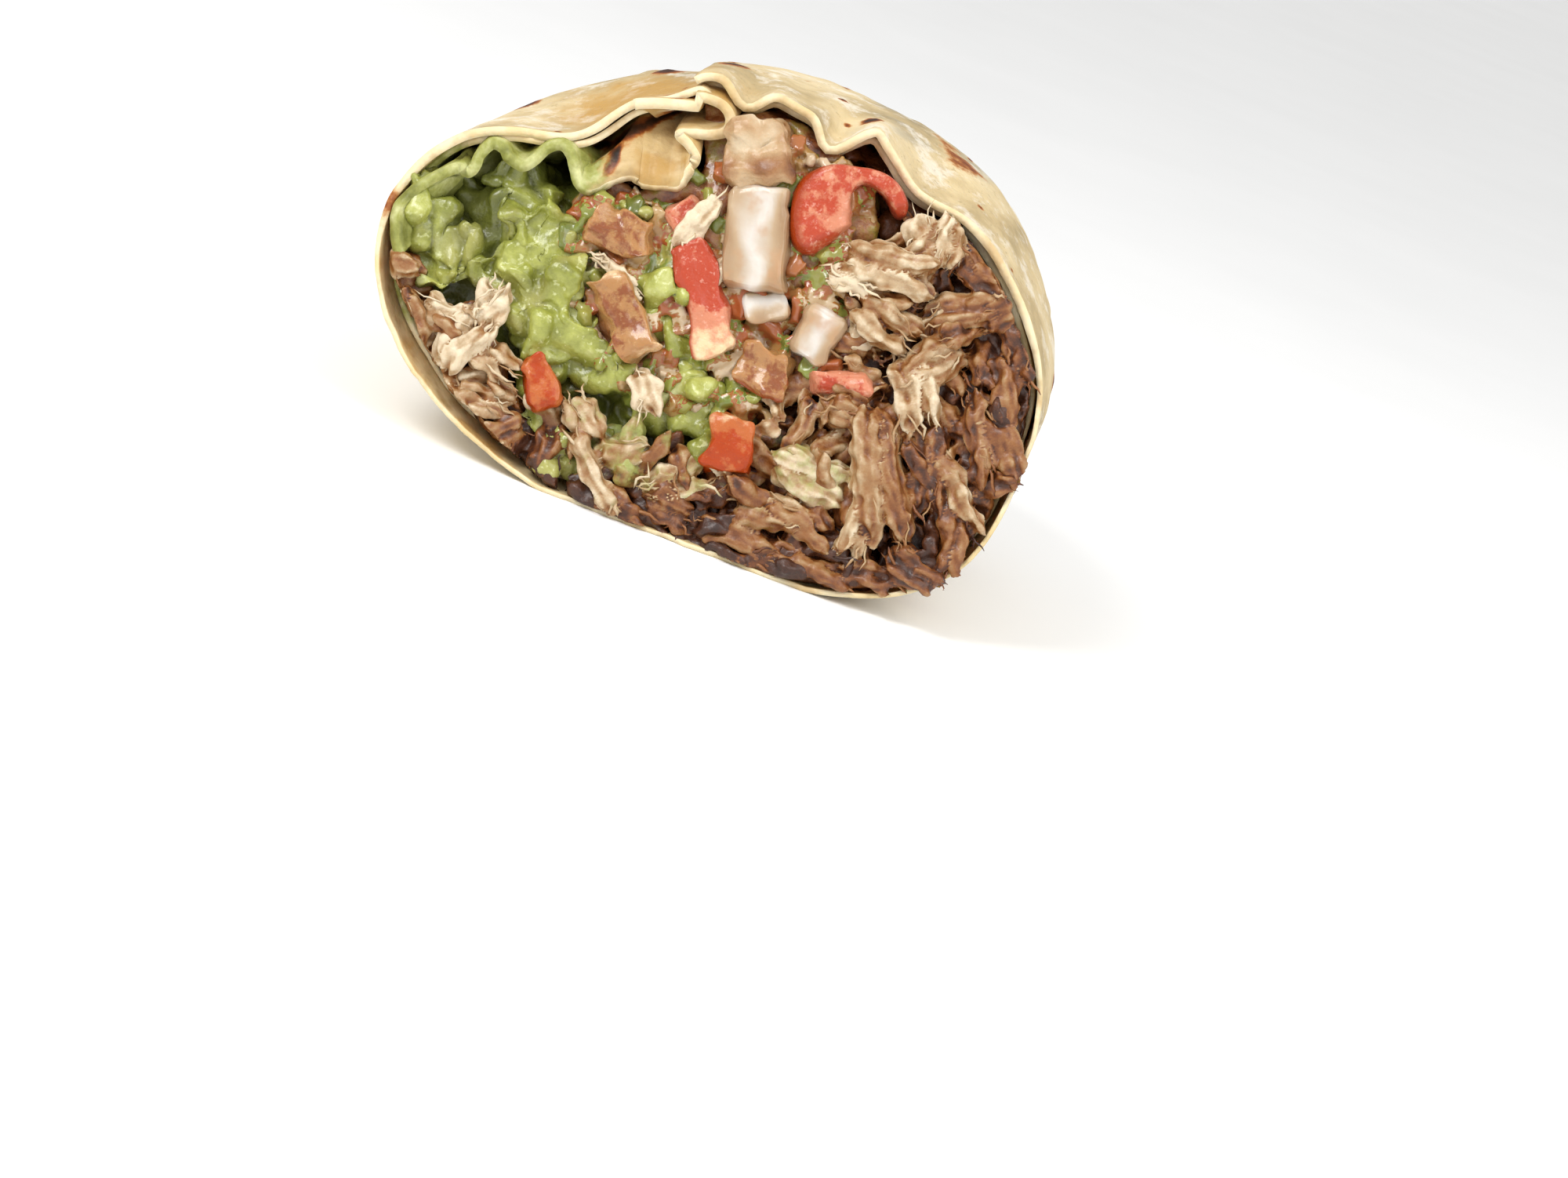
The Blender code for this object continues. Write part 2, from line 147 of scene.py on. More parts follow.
# Smears of guacamole: right, up, half length, half width, turn in degrees, proud.
SMEARS = (
    (-37.4, 13.0, 5.2, 2.4, 78, -1.0), (-38.6, 17.0, 3.6, 1.8, 60, 0.4),
    (-34.2, 10.2, 3.6, 1.8, 12, -0.6), (-25.2, 15.4, 5.4, 3.6, 10, -1.4),
    (-26.4, 18.6, 2.6, 3.0, 80, -2.0), (-22.0, 13.2, 4.2, 2.2, -24, -0.2),
    (-25.6, 8.2, 5.0, 2.6, -52, 1.0), (-22.2, 5.0, 5.6, 2.8, -46, 0.8),
    (-19.0, -0.6, 5.0, 3.2, -60, 0.6), (-16.0, -4.4, 5.0, 3.2, -40, 0.0),
    (-12.0, 14.8, 4.4, 2.0, 4, -0.2), (-17.0, 10.4, 3.4, 3.4, -70, -1.4),
    (-8.6, 6.6, 4.8, 2.4, -62, 0.5), (-6.0, -1.6, 6.4, 2.2, -72, 0.2),
    (-8.2, -9.2, 5.6, 3.0, -36, -0.8), (-4.0, -11.0, 4.6, 2.6, 10, -0.6),
    (-23.6, -8.6, 6.2, 2.4, -78, -1.2), (-21.0, -15.0, 4.8, 2.2, -50, -0.4),
    (-15.8, -16.2, 4.2, 1.8, -20, -1.0), (-1.4, -9.6, 3.4, 1.4, 0, 0.4), (3.2, -8.6, 3.2, 1.2, 18, 0.2),
    (-36.8, 6.2, 3.2, 1.2, -6, 0.0), (-30.2, 6.6, 2.6, 1.6, -60, -0.8),
    (-2.6, -14.2, 2.6, 1.8, -80, 0.2), (-28.0, 12.2, 2.8, 2.0, 30, -2.4),
    (-24.6, 12.0, 3.0, 1.4, -30, 0.6), (-20.4, 8.2, 3.0, 1.6, -56, 1.4),
    (-25.4, 3.2, 5.6, 3.0, -62, 0.5), (-22.6, -2.6, 4.6, 2.8, -60, 0.2),
)
# Diced pieces, placed as their solids are: centre, size long, across and deep, turn in degrees, proud.
CHUNKS = {
    "meat_cube": ((5.2, 22.4), (9.8, 8.6, 9.0), 4, 2.6),
    "meat_slab": ((21.4, 7.0), (12.4, 6.2, 8.0), -10, 2.6),
    "meat_strip": ((20.0, -20.4), (16.5, 7.0, 8.0), -84, 2.4),
    "onion_wedge": ((4.8, 12.0), (13.4, 8.2, 9.0), 84, 2.4),
    "onion_dice": ((12.4, -0.6), (7.0, 6.2, 7.0), 60, 1.8),
    "onion_end": ((5.6, 3.0), (5.4, 4.0, 7.0), 10, 1.2),
    "tomato_long": ((-2.6, 4.6), (16.0, 5.4, 8.0), -75, 2.2),
    "tomato_pale": ((-12.6, 1.8), (11.8, 6.0, 8.0), -66, 2.4),
    "tomato_chunk": ((-13.0, 12.2), (8.4, 6.0, 7.0), -24, 1.6),
    "tomato_bit": ((-23.0, -6.6), (7.6, 4.2, 6.0), -75, 1.8),
    "tomato_dice": ((1.2, -15.2), (8.2, 6.0, 8.0), 76, 2.8),
    "tomato_seeded": ((5.6, -5.6), (7.2, 6.0, 7.0), -20, 1.6),
    "tomato_slice": ((15.0, -6.8), (8.4, 3.6, 6.0), -2, 1.8),
    "tomato_corner": ((-4.6, 14.6), (4.2, 3.8, 6.0), 20, 1.2),
}
WEDGE_CENTRE = (17.8, 13.9)
WEDGE_RADII = (5.2, 5.6)
WEDGE_FROM = math.radians(218)
WEDGE_TO = math.radians(2)
WEDGE_HALF_WIDTHS = (3.9, 1.1)
WEDGE_HALF_DEPTH = 4.5
WEDGE_PROUD = 2.2


# ================================================================ places
def filling_axes(turn=0.0):
    """Right, up and outward directions on the cut face, turned with the filling."""
    roll = FILLING_ROLL + turn
    right = FACE_RIGHT * math.cos(roll) + FACE_UP * math.sin(roll)
    return right, FACE_NORMAL.cross(right), FACE_NORMAL


AXES = filling_axes()
LAYOUT_MIDDLE = FACE_MIDDLE + FACE_RIGHT * LAYOUT_OFFSET


def on_face(right, up, proud=0.0):
    """A point from its millimetres on the filling's axes."""
    return LAYOUT_MIDDLE + (AXES[0] * right + AXES[1] * up + AXES[2] * proud) * MM


def from_face(point):
    """The millimetres right, up and proud of a point."""
    away = (point - LAYOUT_MIDDLE) / MM
    return away.dot(AXES[0]), away.dot(AXES[1]), away.dot(AXES[2])


def cut_setback(x, z):
    return x * math.tan(CUT_TURN) + (z - FACE_MIDDLE.z) * math.tan(CUT_TILT) / math.cos(CUT_TURN)


def rim(angle, inset):
    cos, sin = math.cos(angle), math.sin(angle)
    power = FULLNESS[(1 if cos >= 0 else -1, 1 if sin >= 0 else -1)]
    reach = (abs(cos) ** power + abs(sin) ** power) ** (-1 / power)
    past_lap = (LAP_ANGLE - angle) % (2 * math.pi)
    lap = LAP_STEP * max(0.0, 1 - past_lap / LAP_FADE)
    high = CROWN if sin >= 0 else BELLY
    return (WIDTH / 2 + lap - inset) * reach * cos, (high + lap - inset) * reach * sin


def pleat(angle, along):
    if along <= PLEAT_START:
        return 0.0
    grown = (along - PLEAT_START) / (1 - PLEAT_START)
    turned = (angle / (2 * math.pi) * PLEATS + PLEAT_TWIST * grown) % 1
    # Each pleat rises slowly and falls within a few millimetres, as soft dough folds over.
    rise = turned / (1 - PLEAT_FALL) if turned < 1 - PLEAT_FALL else (1 - turned) / PLEAT_FALL
    return PLEAT_STEP * (rise - 0.5) * math.sin(math.pi * grown)


def body_point(angle, along, inset):
    """A point of the half: along is 0 at the cut and 1 at the closed end."""
    x, up = rim(angle, inset)
    inside = max(0.0, along)
    closing = max(0.0, 1 - inside**ROUND_START) ** (1 / ROUND_SHARP)
    narrow = (1 - TAPER_WIDTH * inside**TAPER_POWER) * closing
    low = (1 - TAPER_HEIGHT * inside**TAPER_POWER) * math.cos(CUT_TILT)
    z = (BELLY - FLAT_SINK + up * closing) * low
    start = cut_setback(x, z)
    back = LENGTH - inset + pleat(angle, inside)
    return Vector((x * narrow, start + (back - start) * along - ORIGIN_SETBACK, max(z, inset)))


def wobble(point, size, seed):
    """Smooth noise from about -1 to 1, its bumps as many mm across as size says."""
    return noise.noise(point / (size * MM) + Vector((seed, seed * 1.7, -seed)))


def drift(point):
    """Three smooth noises as a vector, the same at every run."""
    return Vector([noise.noise(point + Vector((part * 7.3, 0.0, part * 3.1))) for part in range(3)])


def smooth_step(low, high, value):
    share = min(1.0, max(0.0, (value - low) / (high - low)))
    return share * share * (3 - 2 * share)


def bump(value, centre, width):
    return math.exp(-(((value - centre) / width) ** 2))


def along_curve(points, share):
    """A smooth curve through the points, read at a share of the way along them."""
    place = share * (len(points) - 1)
    index = min(int(place), len(points) - 2)
    t = place - index
    p = [Vector(points[min(max(index + step, 0), len(points) - 1)]) for step in (-1, 0, 1, 2)]
    return 0.5 * (
        2 * p[1]
        + (p[2] - p[0]) * t
        + (2 * p[0] - 5 * p[1] + 4 * p[2] - p[3]) * t**2
        + (3 * p[1] - p[0] - 3 * p[2] + p[3]) * t**3
    )


def inside_oval(right, up, shape, grow=0.0):
    """Below 1 inside one of the filling's oval regions."""
    (middle_right, middle_up), (long, across), turn = shape
    cos, sin = math.cos(math.radians(turn)), math.sin(math.radians(turn))
    a = ((right - middle_right) * cos + (up - middle_up) * sin) / (long + grow)
    b = ((up - middle_up) * cos - (right - middle_right) * sin) / (across + grow)
    return math.hypot(a, b)


def rim_share(right, up):
    """How far out a place on the face is: 1 is on the rim."""
    point = (AXES[0] * right + AXES[1] * up) * MM + FACE_RIGHT * LAYOUT_OFFSET
    x, y = point.dot(FACE_RIGHT), point.dot(FACE_UP)
    high = CROWN if y >= 0 else BELLY
    angle = math.atan2(y / high, x / (WIDTH / 2))
    edge = rim(angle, 0)
    return math.hypot(x, y) / math.hypot(*edge)


# ================================================================ materials
def linear(colour):
    """A hex colour on screen as the linear colour that a shader takes; a colour setting is linear already."""
    if not isinstance(colour, str):
        return list(colour)
    channels = [int(colour[place : place + 2], 16) / 255 for place in (1, 3, 5)]
    return [c / 12.92 if c <= 0.04045 else ((c + 0.055) / 1.055) ** 2.4 for c in channels] + [1.0]


def add(tree, kind, inputs=None, **settings):
    """Adds a node; inputs are values or the sockets to link, settings are the node's own choices."""
    made = tree.nodes.new(kind)
    for name, value in settings.items():
        setattr(made, name, value)
    for name, value in (inputs or {}).items():
        if isinstance(value, bpy.types.NodeSocket):
            tree.links.new(value, made.inputs[name])
        else:
            made.inputs[name].default_value = value
    return made


def start_material(name, **shader):
    """An empty material with its shader, whose uniform values sit on its own sockets."""
    made = bpy.data.materials.new(name)
    made.use_nodes = True
    tree = made.node_tree
    principled = tree.nodes["Principled BSDF"]
    for socket, value in shader.items():
        principled.inputs[socket.replace("_", " ")].default_value = value
    place = add(tree, "ShaderNodeTexCoord").outputs["Object"]
    return made, tree, principled, place


def noise_at(tree, place, size, detail=3.0, roughness=0.55, offset=0.0):
    """Noise whose patches are as many mm across as size says."""
    shifted = add(tree, "ShaderNodeMapping", {"Vector": place, "Location": (offset, -offset, offset * 0.5)})
    made = add(
        tree,
        "ShaderNodeTexNoise",
        {"Vector": shifted.outputs[0], "Scale": 1 / (size * MM), "Detail": detail, "Roughness": roughness},
    )
    return made.outputs["Fac"]


def ramp(tree, factor, stops):
    """A colour ramp from pairs of place and hex colour."""
    made = add(tree, "ShaderNodeValToRGB", {"Fac": factor})
    elements = made.color_ramp.elements
    while len(elements) < len(stops):
        elements.new(0.5)
    for element, (place, colour) in zip(elements, stops):
        element.position = place
        element.color = linear(colour)
    return made.outputs["Color"]


def mix(tree, factor, first, second):
    made = add(tree, "ShaderNodeMix", data_type="RGBA")
    for index, value in ((0, factor), (6, first), (7, second)):
        if isinstance(value, bpy.types.NodeSocket):
            tree.links.new(value, made.inputs[index])
        elif isinstance(value, str):
            made.inputs[index].default_value = linear(value)
        else:
            made.inputs[index].default_value = value
    return made.outputs[2]


def maths(tree, operation, first, second, clamp=False):
    return add(tree, "ShaderNodeMath", {0: first, 1: second}, operation=operation, use_clamp=clamp).outputs[0]


def attribute(tree, name):
    return add(tree, "ShaderNodeAttribute", attribute_name=name).outputs["Fac"]


def limits(tree, value, low, high):
    """0 below low, 1 above high, smooth between."""
    made = add(tree, "ShaderNodeMapRange", {0: value, 1: low, 2: high}, interpolation_type="SMOOTHSTEP")
    return made.outputs[0]


def set_bump(tree, principled, heights):
    """Chained bumps: pairs of a height socket and its depth in mm."""
    normal = None
    for height, depth in heights:
        inputs = {"Height": height, "Distance": depth * MM, "Strength": 1.0}
        if normal:
            inputs["Normal"] = normal
        normal = add(tree, "ShaderNodeBump", inputs).outputs["Normal"]
    tree.links.new(normal, principled.inputs["Normal"])


def griddle(tree, place, colour, field):
    """Griddle spots over a colour: a scorched middle, a brown body and an orange-brown ring."""
    ragged = noise_at(tree, place, 1.1, 4.0, 0.6, 3.0)
    strength = maths(tree, "ADD", field, maths(tree, "MULTIPLY", maths(tree, "SUBTRACT", ragged, 0.5), 0.55))
    scorch = ramp(
        tree, strength,
        ((0.0, "#C99A5E"), (0.22, "#B0702F"), (0.42, "#7C3F16"), (0.6, "#43200D"), (0.85, "#170A05")),
    )
    return mix(tree, limits(tree, strength, 0.10, 0.34), colour, scorch)


def skin_material():
    """Griddled flour tortilla, rolled and pressed dough: matt, blotched with dry flour and clear patches."""
    made, tree, principled, place = start_material(
        "griddled_flour_tortilla", Roughness=0.72, Specular_IOR_Level=0.35, Subsurface_Weight=0.12,
        Subsurface_Radius=(1.0, 0.7, 0.4), Subsurface_Scale=1.2 * MM,
    )
    broad = noise_at(tree, place, 15, 4.0, 0.6, 1.0)
    colour = ramp(tree, broad, ((0.30, "#94835F"), (0.45, "#B8A277"), (0.56, "#CFBA8F"), (0.72, "#DCCAA4")))
    clear = limits(tree, noise_at(tree, place, 19, 3.0, 0.55, 7.0), 0.57, 0.70)
    colour = mix(tree, maths(tree, "MULTIPLY", clear, 0.6), colour, "#8F8C80")
    patchy = maths(tree, "MULTIPLY", noise_at(tree, place, 4.0, 4.0, 0.6, 11.0), 1.6)
    stain = limits(tree, maths(tree, "ADD", attribute(tree, "stain"), patchy), 0.95, 1.95)
    colour = mix(tree, maths(tree, "MULTIPLY", stain, 0.9), colour, "#B58A42")
    # Flour lies in streaks and crumbs 2 to 5 mm across.
    flour = limits(tree, noise_at(tree, place, 5.5, 7.0, 0.68, 2.0), 0.50, 0.64)
    flour = maths(tree, "MULTIPLY", flour, maths(tree, "SUBTRACT", 0.6, maths(tree, "MULTIPLY", stain, 0.35)))
    colour = mix(tree, flour, colour, "#EAE3D4")
    speck = limits(tree, noise_at(tree, place, 0.8, 2.0, 0.5, 5.0), 0.36, 0.30)
    colour = mix(tree, maths(tree, "MULTIPLY", speck, 0.35), colour, "#8E7B55")
    pores = add(tree, "ShaderNodeTexVoronoi", {"Vector": place, "Scale": 1 / (6.5 * MM), "Randomness": 1.0})
    pore = maths(tree, "SUBTRACT", 0.13, pores.outputs["Distance"])
    pore = maths(tree, "MULTIPLY", pore, 5.0, clamp=True)
    field = maths(tree, "MAXIMUM", attribute(tree, "char"), pore)
    colour = griddle(tree, place, colour, field)
    tree.links.new(colour, principled.inputs["Base Color"])
    set_bump(
        tree, principled,
        (
            (noise_at(tree, place, 2.4, 3.0, 0.5, 4.0), 0.35),
            (noise_at(tree, place, 0.55, 3.0, 0.6, 6.0), 0.10),
        ),
    )
    return made


def crumb_material(name, light, stained, shade):
    """Steamed inner face or cut edge of a tortilla: soft, moist and a little see-through."""
    made, tree, principled, place = start_material(
        name, Roughness=0.5, Specular_IOR_Level=0.4, Subsurface_Weight=0.25,
        Subsurface_Radius=(1.0, 0.75, 0.4), Subsurface_Scale=1.4 * MM, Coat_Weight=0.08, Coat_Roughness=0.3,
    )
    broad = noise_at(tree, place, 6.5, 4.0, 0.6, 1.5)
    colour = ramp(tree, broad, ((0.34, shade), (0.50, light), (0.75, light)))
    stain = limits(tree, noise_at(tree, place, 9, 3.0, 0.6, 8.0), 0.48, 0.62)
    colour = mix(tree, maths(tree, "MULTIPLY", stain, 0.65), colour, stained)
    colour = griddle(tree, place, colour, attribute(tree, "char"))
    wet = maths(tree, "ADD", noise_at(tree, place, 2.6, 4.0, 0.6, 2.5), -0.5)
    green = limits(tree, maths(tree, "ADD", attribute(tree, "green"), wet), 0.25, 0.65)
    smeared = noise_at(tree, place, 3.2, 4.0, 0.6, 9.0)
    smear = ramp(tree, smeared, ((0.30, "#6E702C"), (0.50, "#999B50"), (0.7, "#C6C68C")))
    colour = mix(tree, green, colour, smear)
    tree.links.new(colour, principled.inputs["Base Color"])
    set_bump(
        tree, principled,
        (
            (noise_at(tree, place, 1.6, 3.0, 0.5, 4.0), 0.22),
            (noise_at(tree, place, 0.45, 2.0, 0.6, 6.0), 0.06),
        ),
    )
    return made


def guacamole_material():
    """Mashed avocado: wet, smooth paste with paler lumps, glossy where it was wiped by the knife."""
    made, tree, principled, place = start_material(
        "mashed_avocado", Roughness=0.36, Specular_IOR_Level=0.5, Subsurface_Weight=0.3,
        Subsurface_Radius=(1.1, 1.1, 0.4), Subsurface_Scale=1.4 * MM, Coat_Weight=0.35, Coat_Roughness=0.16,
    )
    colour = ramp(
        tree, noise_at(tree, place, 5.0, 5.0, 0.62, 1.0),
        ((0.30, "#696B23"), (0.44, "#898D38"), (0.57, "#A5A851"), (0.74, "#C8C98A")),
    )
    dull = limits(tree, noise_at(tree, place, 9, 2.0, 0.5, 6.0), 0.48, 0.64)
    colour = mix(tree, maths(tree, "MULTIPLY", dull, 0.55), colour, "#A29A58")
    fleck = limits(tree, noise_at(tree, place, 0.9, 2.0, 0.5, 8.0), 0.60, 0.70)
    colour = mix(tree, maths(tree, "MULTIPLY", fleck, 0.5), colour, "#DFE2AE")
    # Painted shade: darker olive where the paste lies behind the cut and in its upper left corner.
    colour = mix(tree, maths(tree, "MULTIPLY", attribute(tree, "painted_shade"), 0.85), colour, "#4C5214")
    tree.links.new(colour, principled.inputs["Base Color"])
    set_bump(
        tree, principled,
        (
            (noise_at(tree, place, 1.8, 4.0, 0.6, 4.0), 0.30),
            (noise_at(tree, place, 0.5, 2.0, 0.6, 6.0), 0.06),
        ),
    )
    return made


def salsa_material():
    """Drained tomato and onion pulp: wet, mottled red-brown and olive."""
    made, tree, principled, place = start_material(
        "wet_salsa_pulp", Roughness=0.3, Specular_IOR_Level=0.5, Subsurface_Weight=0.25,
        Subsurface_Radius=(1.2, 0.5, 0.25), Subsurface_Scale=1.5 * MM, Coat_Weight=0.4, Coat_Roughness=0.12,
    )
    colour = ramp(
        tree, noise_at(tree, place, 3.4, 4.0, 0.62, 1.0),
        ((0.28, "#3E1808"), (0.42, "#7A421C"), (0.52, "#96683E"), (0.62, "#8F7A2C"), (0.74, "#B8946A")),
    )
    tree.links.new(colour, principled.inputs["Base Color"])
    set_bump(tree, principled, ((noise_at(tree, place, 1.5, 4.0, 0.6, 4.0), 0.35),))
    return made


def meat_material(name, stops, rough, coat):
    """Slow-cooked meat pulled into shreds: moist fibres, pale inside and browned at the ends."""
    made, tree, principled, place = start_material(
        name, Roughness=rough, Specular_IOR_Level=0.45, Subsurface_Weight=0.12,
        Subsurface_Radius=(1.0, 0.5, 0.3), Subsurface_Scale=1.0 * MM, Coat_Weight=coat, Coat_Roughness=0.25,
    )
    grain = maths(tree, "SUBTRACT", noise_at(tree, place, 2.2, 5.0, 0.65, 1.0), 0.5)
    # The tint attribute carries each piece's tone and the painted shade of crevices, gaps and deeper pieces.
    tone = maths(tree, "ADD", attribute(tree, "tint"), maths(tree, "MULTIPLY", grain, 0.55), clamp=True)
    colour = ramp(tree, tone, stops)
    wet = maths(tree, "SUBTRACT", noise_at(tree, place, 1.8, 4.0, 0.6, 5.0), 0.5)
    green = limits(tree, maths(tree, "ADD", attribute(tree, "green"), wet), 0.30, 0.75)
    colour = mix(tree, maths(tree, "MULTIPLY", green, 0.8), colour, "#9DA95A")
    tree.links.new(colour, principled.inputs["Base Color"])
    set_bump(
        tree, principled,
        (
            (noise_at(tree, place, 0.9, 4.0, 0.6, 4.0), 0.22),
            (noise_at(tree, place, 0.3, 2.0, 0.6, 7.0), 0.05),
        ),
    )
    return made


def tomato_material(name, flesh, pulp, skin, clear=0.12, wet=0.2, fibres="#F2C3AE"):
    """Ripe tomato, diced: wet cut flesh with paler pulp, and a thin glossy orange-red skin; the pale specks
    in the fibres colour are pulp grain and painted highlight sparkle.
    """
    made, tree, principled, place = start_material(
        name, Roughness=0.36, Specular_IOR_Level=0.3, Subsurface_Weight=clear,
        Subsurface_Radius=(1.2, 0.55, 0.3), Subsurface_Scale=1.4 * MM, Coat_Weight=wet, Coat_Roughness=0.12,
    )
    pulpy = maths(tree, "ADD", noise_at(tree, place, 1.9, 4.0, 0.62, 1.0), attribute(tree, "pulp"))
    colour = mix(tree, limits(tree, pulpy, 0.42, 0.60), flesh, pulp)
    colour = mix(tree, limits(tree, pulpy, 0.80, 1.15), colour, "#DDBE94")
    # Pale specks: pulp grain and painted highlight sparkle.
    grain = limits(tree, noise_at(tree, place, 0.6, 2.0, 0.5, 3.0), 0.58, 0.72)
    colour = mix(tree, maths(tree, "MULTIPLY", grain, 0.3), colour, fibres)
    colour = mix(tree, attribute(tree, "skin"), colour, skin)
    tree.links.new(colour, principled.inputs["Base Color"])
    set_bump(
        tree, principled,
        (
            (noise_at(tree, place, 1.5, 4.0, 0.6, 4.0), 0.30),
            (noise_at(tree, place, 0.5, 2.0, 0.5, 6.0), 0.07),
        ),
    )
    return made


def onion_material():
    """Diced white onion: glassy layers, milky inside, stained peach where salsa soaked in; a pale band along
    each piece's middle is milky flesh and a painted highlight.
    """
    made, tree, principled, place = start_material(
        "diced_white_onion", Roughness=0.32, Specular_IOR_Level=0.5, Transmission_Weight=0.2,
        Subsurface_Weight=0.5, Subsurface_Radius=(1.2, 1.0, 0.8), Subsurface_Scale=2.0 * MM,
        Coat_Weight=0.25, Coat_Roughness=0.14,
    )
    layer = attribute(tree, "layer")
    # Pale along each piece's middle: milky flesh and a painted highlight.
    colour = ramp(tree, layer, ((0.0, "#A98661"), (0.4, "#C4A987"), (0.75, "#D6C8B6"), (1.0, "#E6DED4")))
    soaked = limits(tree, noise_at(tree, place, 4.5, 3.0, 0.6, 2.0), 0.48, 0.68)
    colour = mix(tree, maths(tree, "MULTIPLY", soaked, 0.6), colour, "#C99B70")
    tree.links.new(colour, principled.inputs["Base Color"])
    set_bump(tree, principled, ((noise_at(tree, place, 1.2, 3.0, 0.5, 4.0), 0.12),))
    return made


def bits_material():
    """Minced salsa bits: tomato, onion and herb, each a colour of its own, all wet."""
    made, tree, principled, place = start_material(
        "minced_salsa_bits", Roughness=0.25, Specular_IOR_Level=0.5, Subsurface_Weight=0.2,
        Subsurface_Radius=(1.0, 0.6, 0.4), Subsurface_Scale=1.0 * MM, Coat_Weight=0.4, Coat_Roughness=0.1,
    )
    colour = ramp(
        tree, attribute(tree, "tint"),
        ((0.0, "#47601B"), (0.10, "#7A9038"), (0.22, "#A2A450"), (0.24, "#93390F"), (0.40, "#A8582C"),
         (0.55, "#9C6E3A"), (0.72, "#AA8A52"), (0.78, "#C2A67A"), (1.0, "#DDCFB6")),
    )
    colour = mix(tree, maths(tree, "MULTIPLY", noise_at(tree, place, 1.2), 0.45), colour, "#8F673C")
    tree.links.new(colour, principled.inputs["Base Color"])
    set_bump(tree, principled, ((noise_at(tree, place, 0.7, 3.0, 0.5, 4.0), 0.08),))
    return made


def floor_material():
    """Matt white laminate board: plain and pale."""
    made, tree, principled, place = start_material("matt_white_board", Roughness=0.6, Specular_IOR_Level=0.2)
    colour = ramp(tree, noise_at(tree, place, 60), ((0.3, "#FAFAF9"), (0.7, "#FDFDFC")))
    tree.links.new(colour, principled.inputs["Base Color"])
    return made


# ================================================================ pieces
def paint(mesh, **values):
    """Writes one number for each vertex under each name."""
    for name, numbers in values.items():
        made = mesh.attributes.new(name, "FLOAT", "POINT")
        made.data.foreach_set("value", numbers)


def finish_piece(name, bm, materials, slot, nodes, fields=None, recalculate=True):
    """Makes a mesh into a piece of the half: smooth, painted, riding on the body, in place of its solids."""
    if recalculate:
        bm.normal_update()
        bmesh.ops.recalc_face_normals(bm, faces=bm.faces)
    mesh = bpy.data.meshes.new(name)
    bm.to_mesh(mesh)
    bm.free()
    for material in materials:
        mesh.materials.append(material)
    mesh.shade_smooth()
    for field, work_out in (fields or {}).items():
        paint(mesh, **{field: [work_out(vert.co) for vert in mesh.vertices]})
    obj = bpy.data.objects.new(name, mesh)
    bpy.context.scene.collection.objects.link(obj)
    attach(obj, "root")
    if nodes:
        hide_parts(*nodes)
    return obj


def solidify(obj, thickness, offset, faces, edges, thinned=None):
    """Gives a sheet its thickness; thinned works out a share of it for each point."""
    wall = obj.modifiers.new("Thickness", "SOLIDIFY")
    if thinned:
        group = obj.vertex_groups.new(name="thickness")
        for vert in obj.data.vertices:
            group.add([vert.index], thinned(vert.co), "REPLACE")
        wall.vertex_group = group.name
        wall.thickness_vertex_group = 0
    wall.thickness = thickness
    wall.offset = offset
    wall.use_even_offset = False
    wall.material_offset = faces
    wall.material_offset_rim = edges


def weld(bm):
    """Joins the verts that meet at a seam or a pole and drops faces left without area."""
    bmesh.ops.remove_doubles(bm, verts=bm.verts, dist=WELD)
    bmesh.ops.dissolve_degenerate(bm, edges=bm.edges, dist=WELD)


def even_out(bm, verts, factor):
    """Smooths a mesh the same along all three axes."""
    bmesh.ops.smooth_vert(
        bm, verts=verts, factor=factor, use_axis_x=True, use_axis_y=True, use_axis_z=True
    )


def grid_sheet(across, along, place):
    """A bent sheet: place gives the point at each pair of shares."""
    bm = bmesh.new()
    bmesh.ops.create_grid(bm, x_segments=across, y_segments=along, size=0.5)
    for vert in bm.verts:
        vert.co = place(vert.co.x + 0.5, vert.co.y + 0.5)
    return bm


def remeshed(mesh, voxel):
    """A mesh rebuilt as one even skin, its crossing parts melted together."""
    melted = bpy.data.objects.new("melted", mesh)
    bpy.context.scene.collection.objects.link(melted)
    remesh = melted.modifiers.new("Skin", "REMESH")
    remesh.mode = "VOXEL"
    remesh.voxel_size = voxel
    depsgraph = bpy.context.evaluated_depsgraph_get()
    depsgraph.update()
    skin = bpy.data.meshes.new_from_object(melted.evaluated_get(depsgraph))
    bm = bmesh.new()
    bm.from_mesh(skin)
    bpy.data.objects.remove(melted)
    bpy.data.meshes.remove(skin)
    drop_crumbs(bm)
    return bm


def drop_crumbs(bm):
    """Takes away the specks that a rebuilt skin leaves beside its pieces."""
    seen, crumbs = set(), []
    for start in bm.verts:
        if start in seen:
            continue
        seen.add(start)
        island, waiting = [start], [start]
        while waiting:
            for edge in waiting.pop().link_edges:
                for vert in edge.verts:
                    if vert not in seen:
                        seen.add(vert)
                        island.append(vert)
                        waiting.append(vert)
        if len(island) < CRUMB_VERTS:
            crumbs += island
    bmesh.ops.delete(bm, geom=crumbs, context="VERTS")


def solid_copy(node):
    """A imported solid's mesh, its loose triangles joined."""
    bm = bmesh.new()
    bm.from_mesh(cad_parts[node].data)
    bmesh.ops.remove_doubles(bm, verts=bm.verts, dist=WELD)
    return bm


def sag(angle, along):
    """How far the slack rim hangs inside the round of the half, in metres."""
    degrees = math.degrees(angle) % 360
    back = max(0.0, along) * LENGTH / MM
    return MM * sum(
        depth * bump(degrees, centre, width) * math.exp(-((back / reach) ** 2))
        for centre, width, depth, reach in SAGS
    )


def outward(angle):
    return Vector((math.cos(angle), 0, math.sin(angle)))


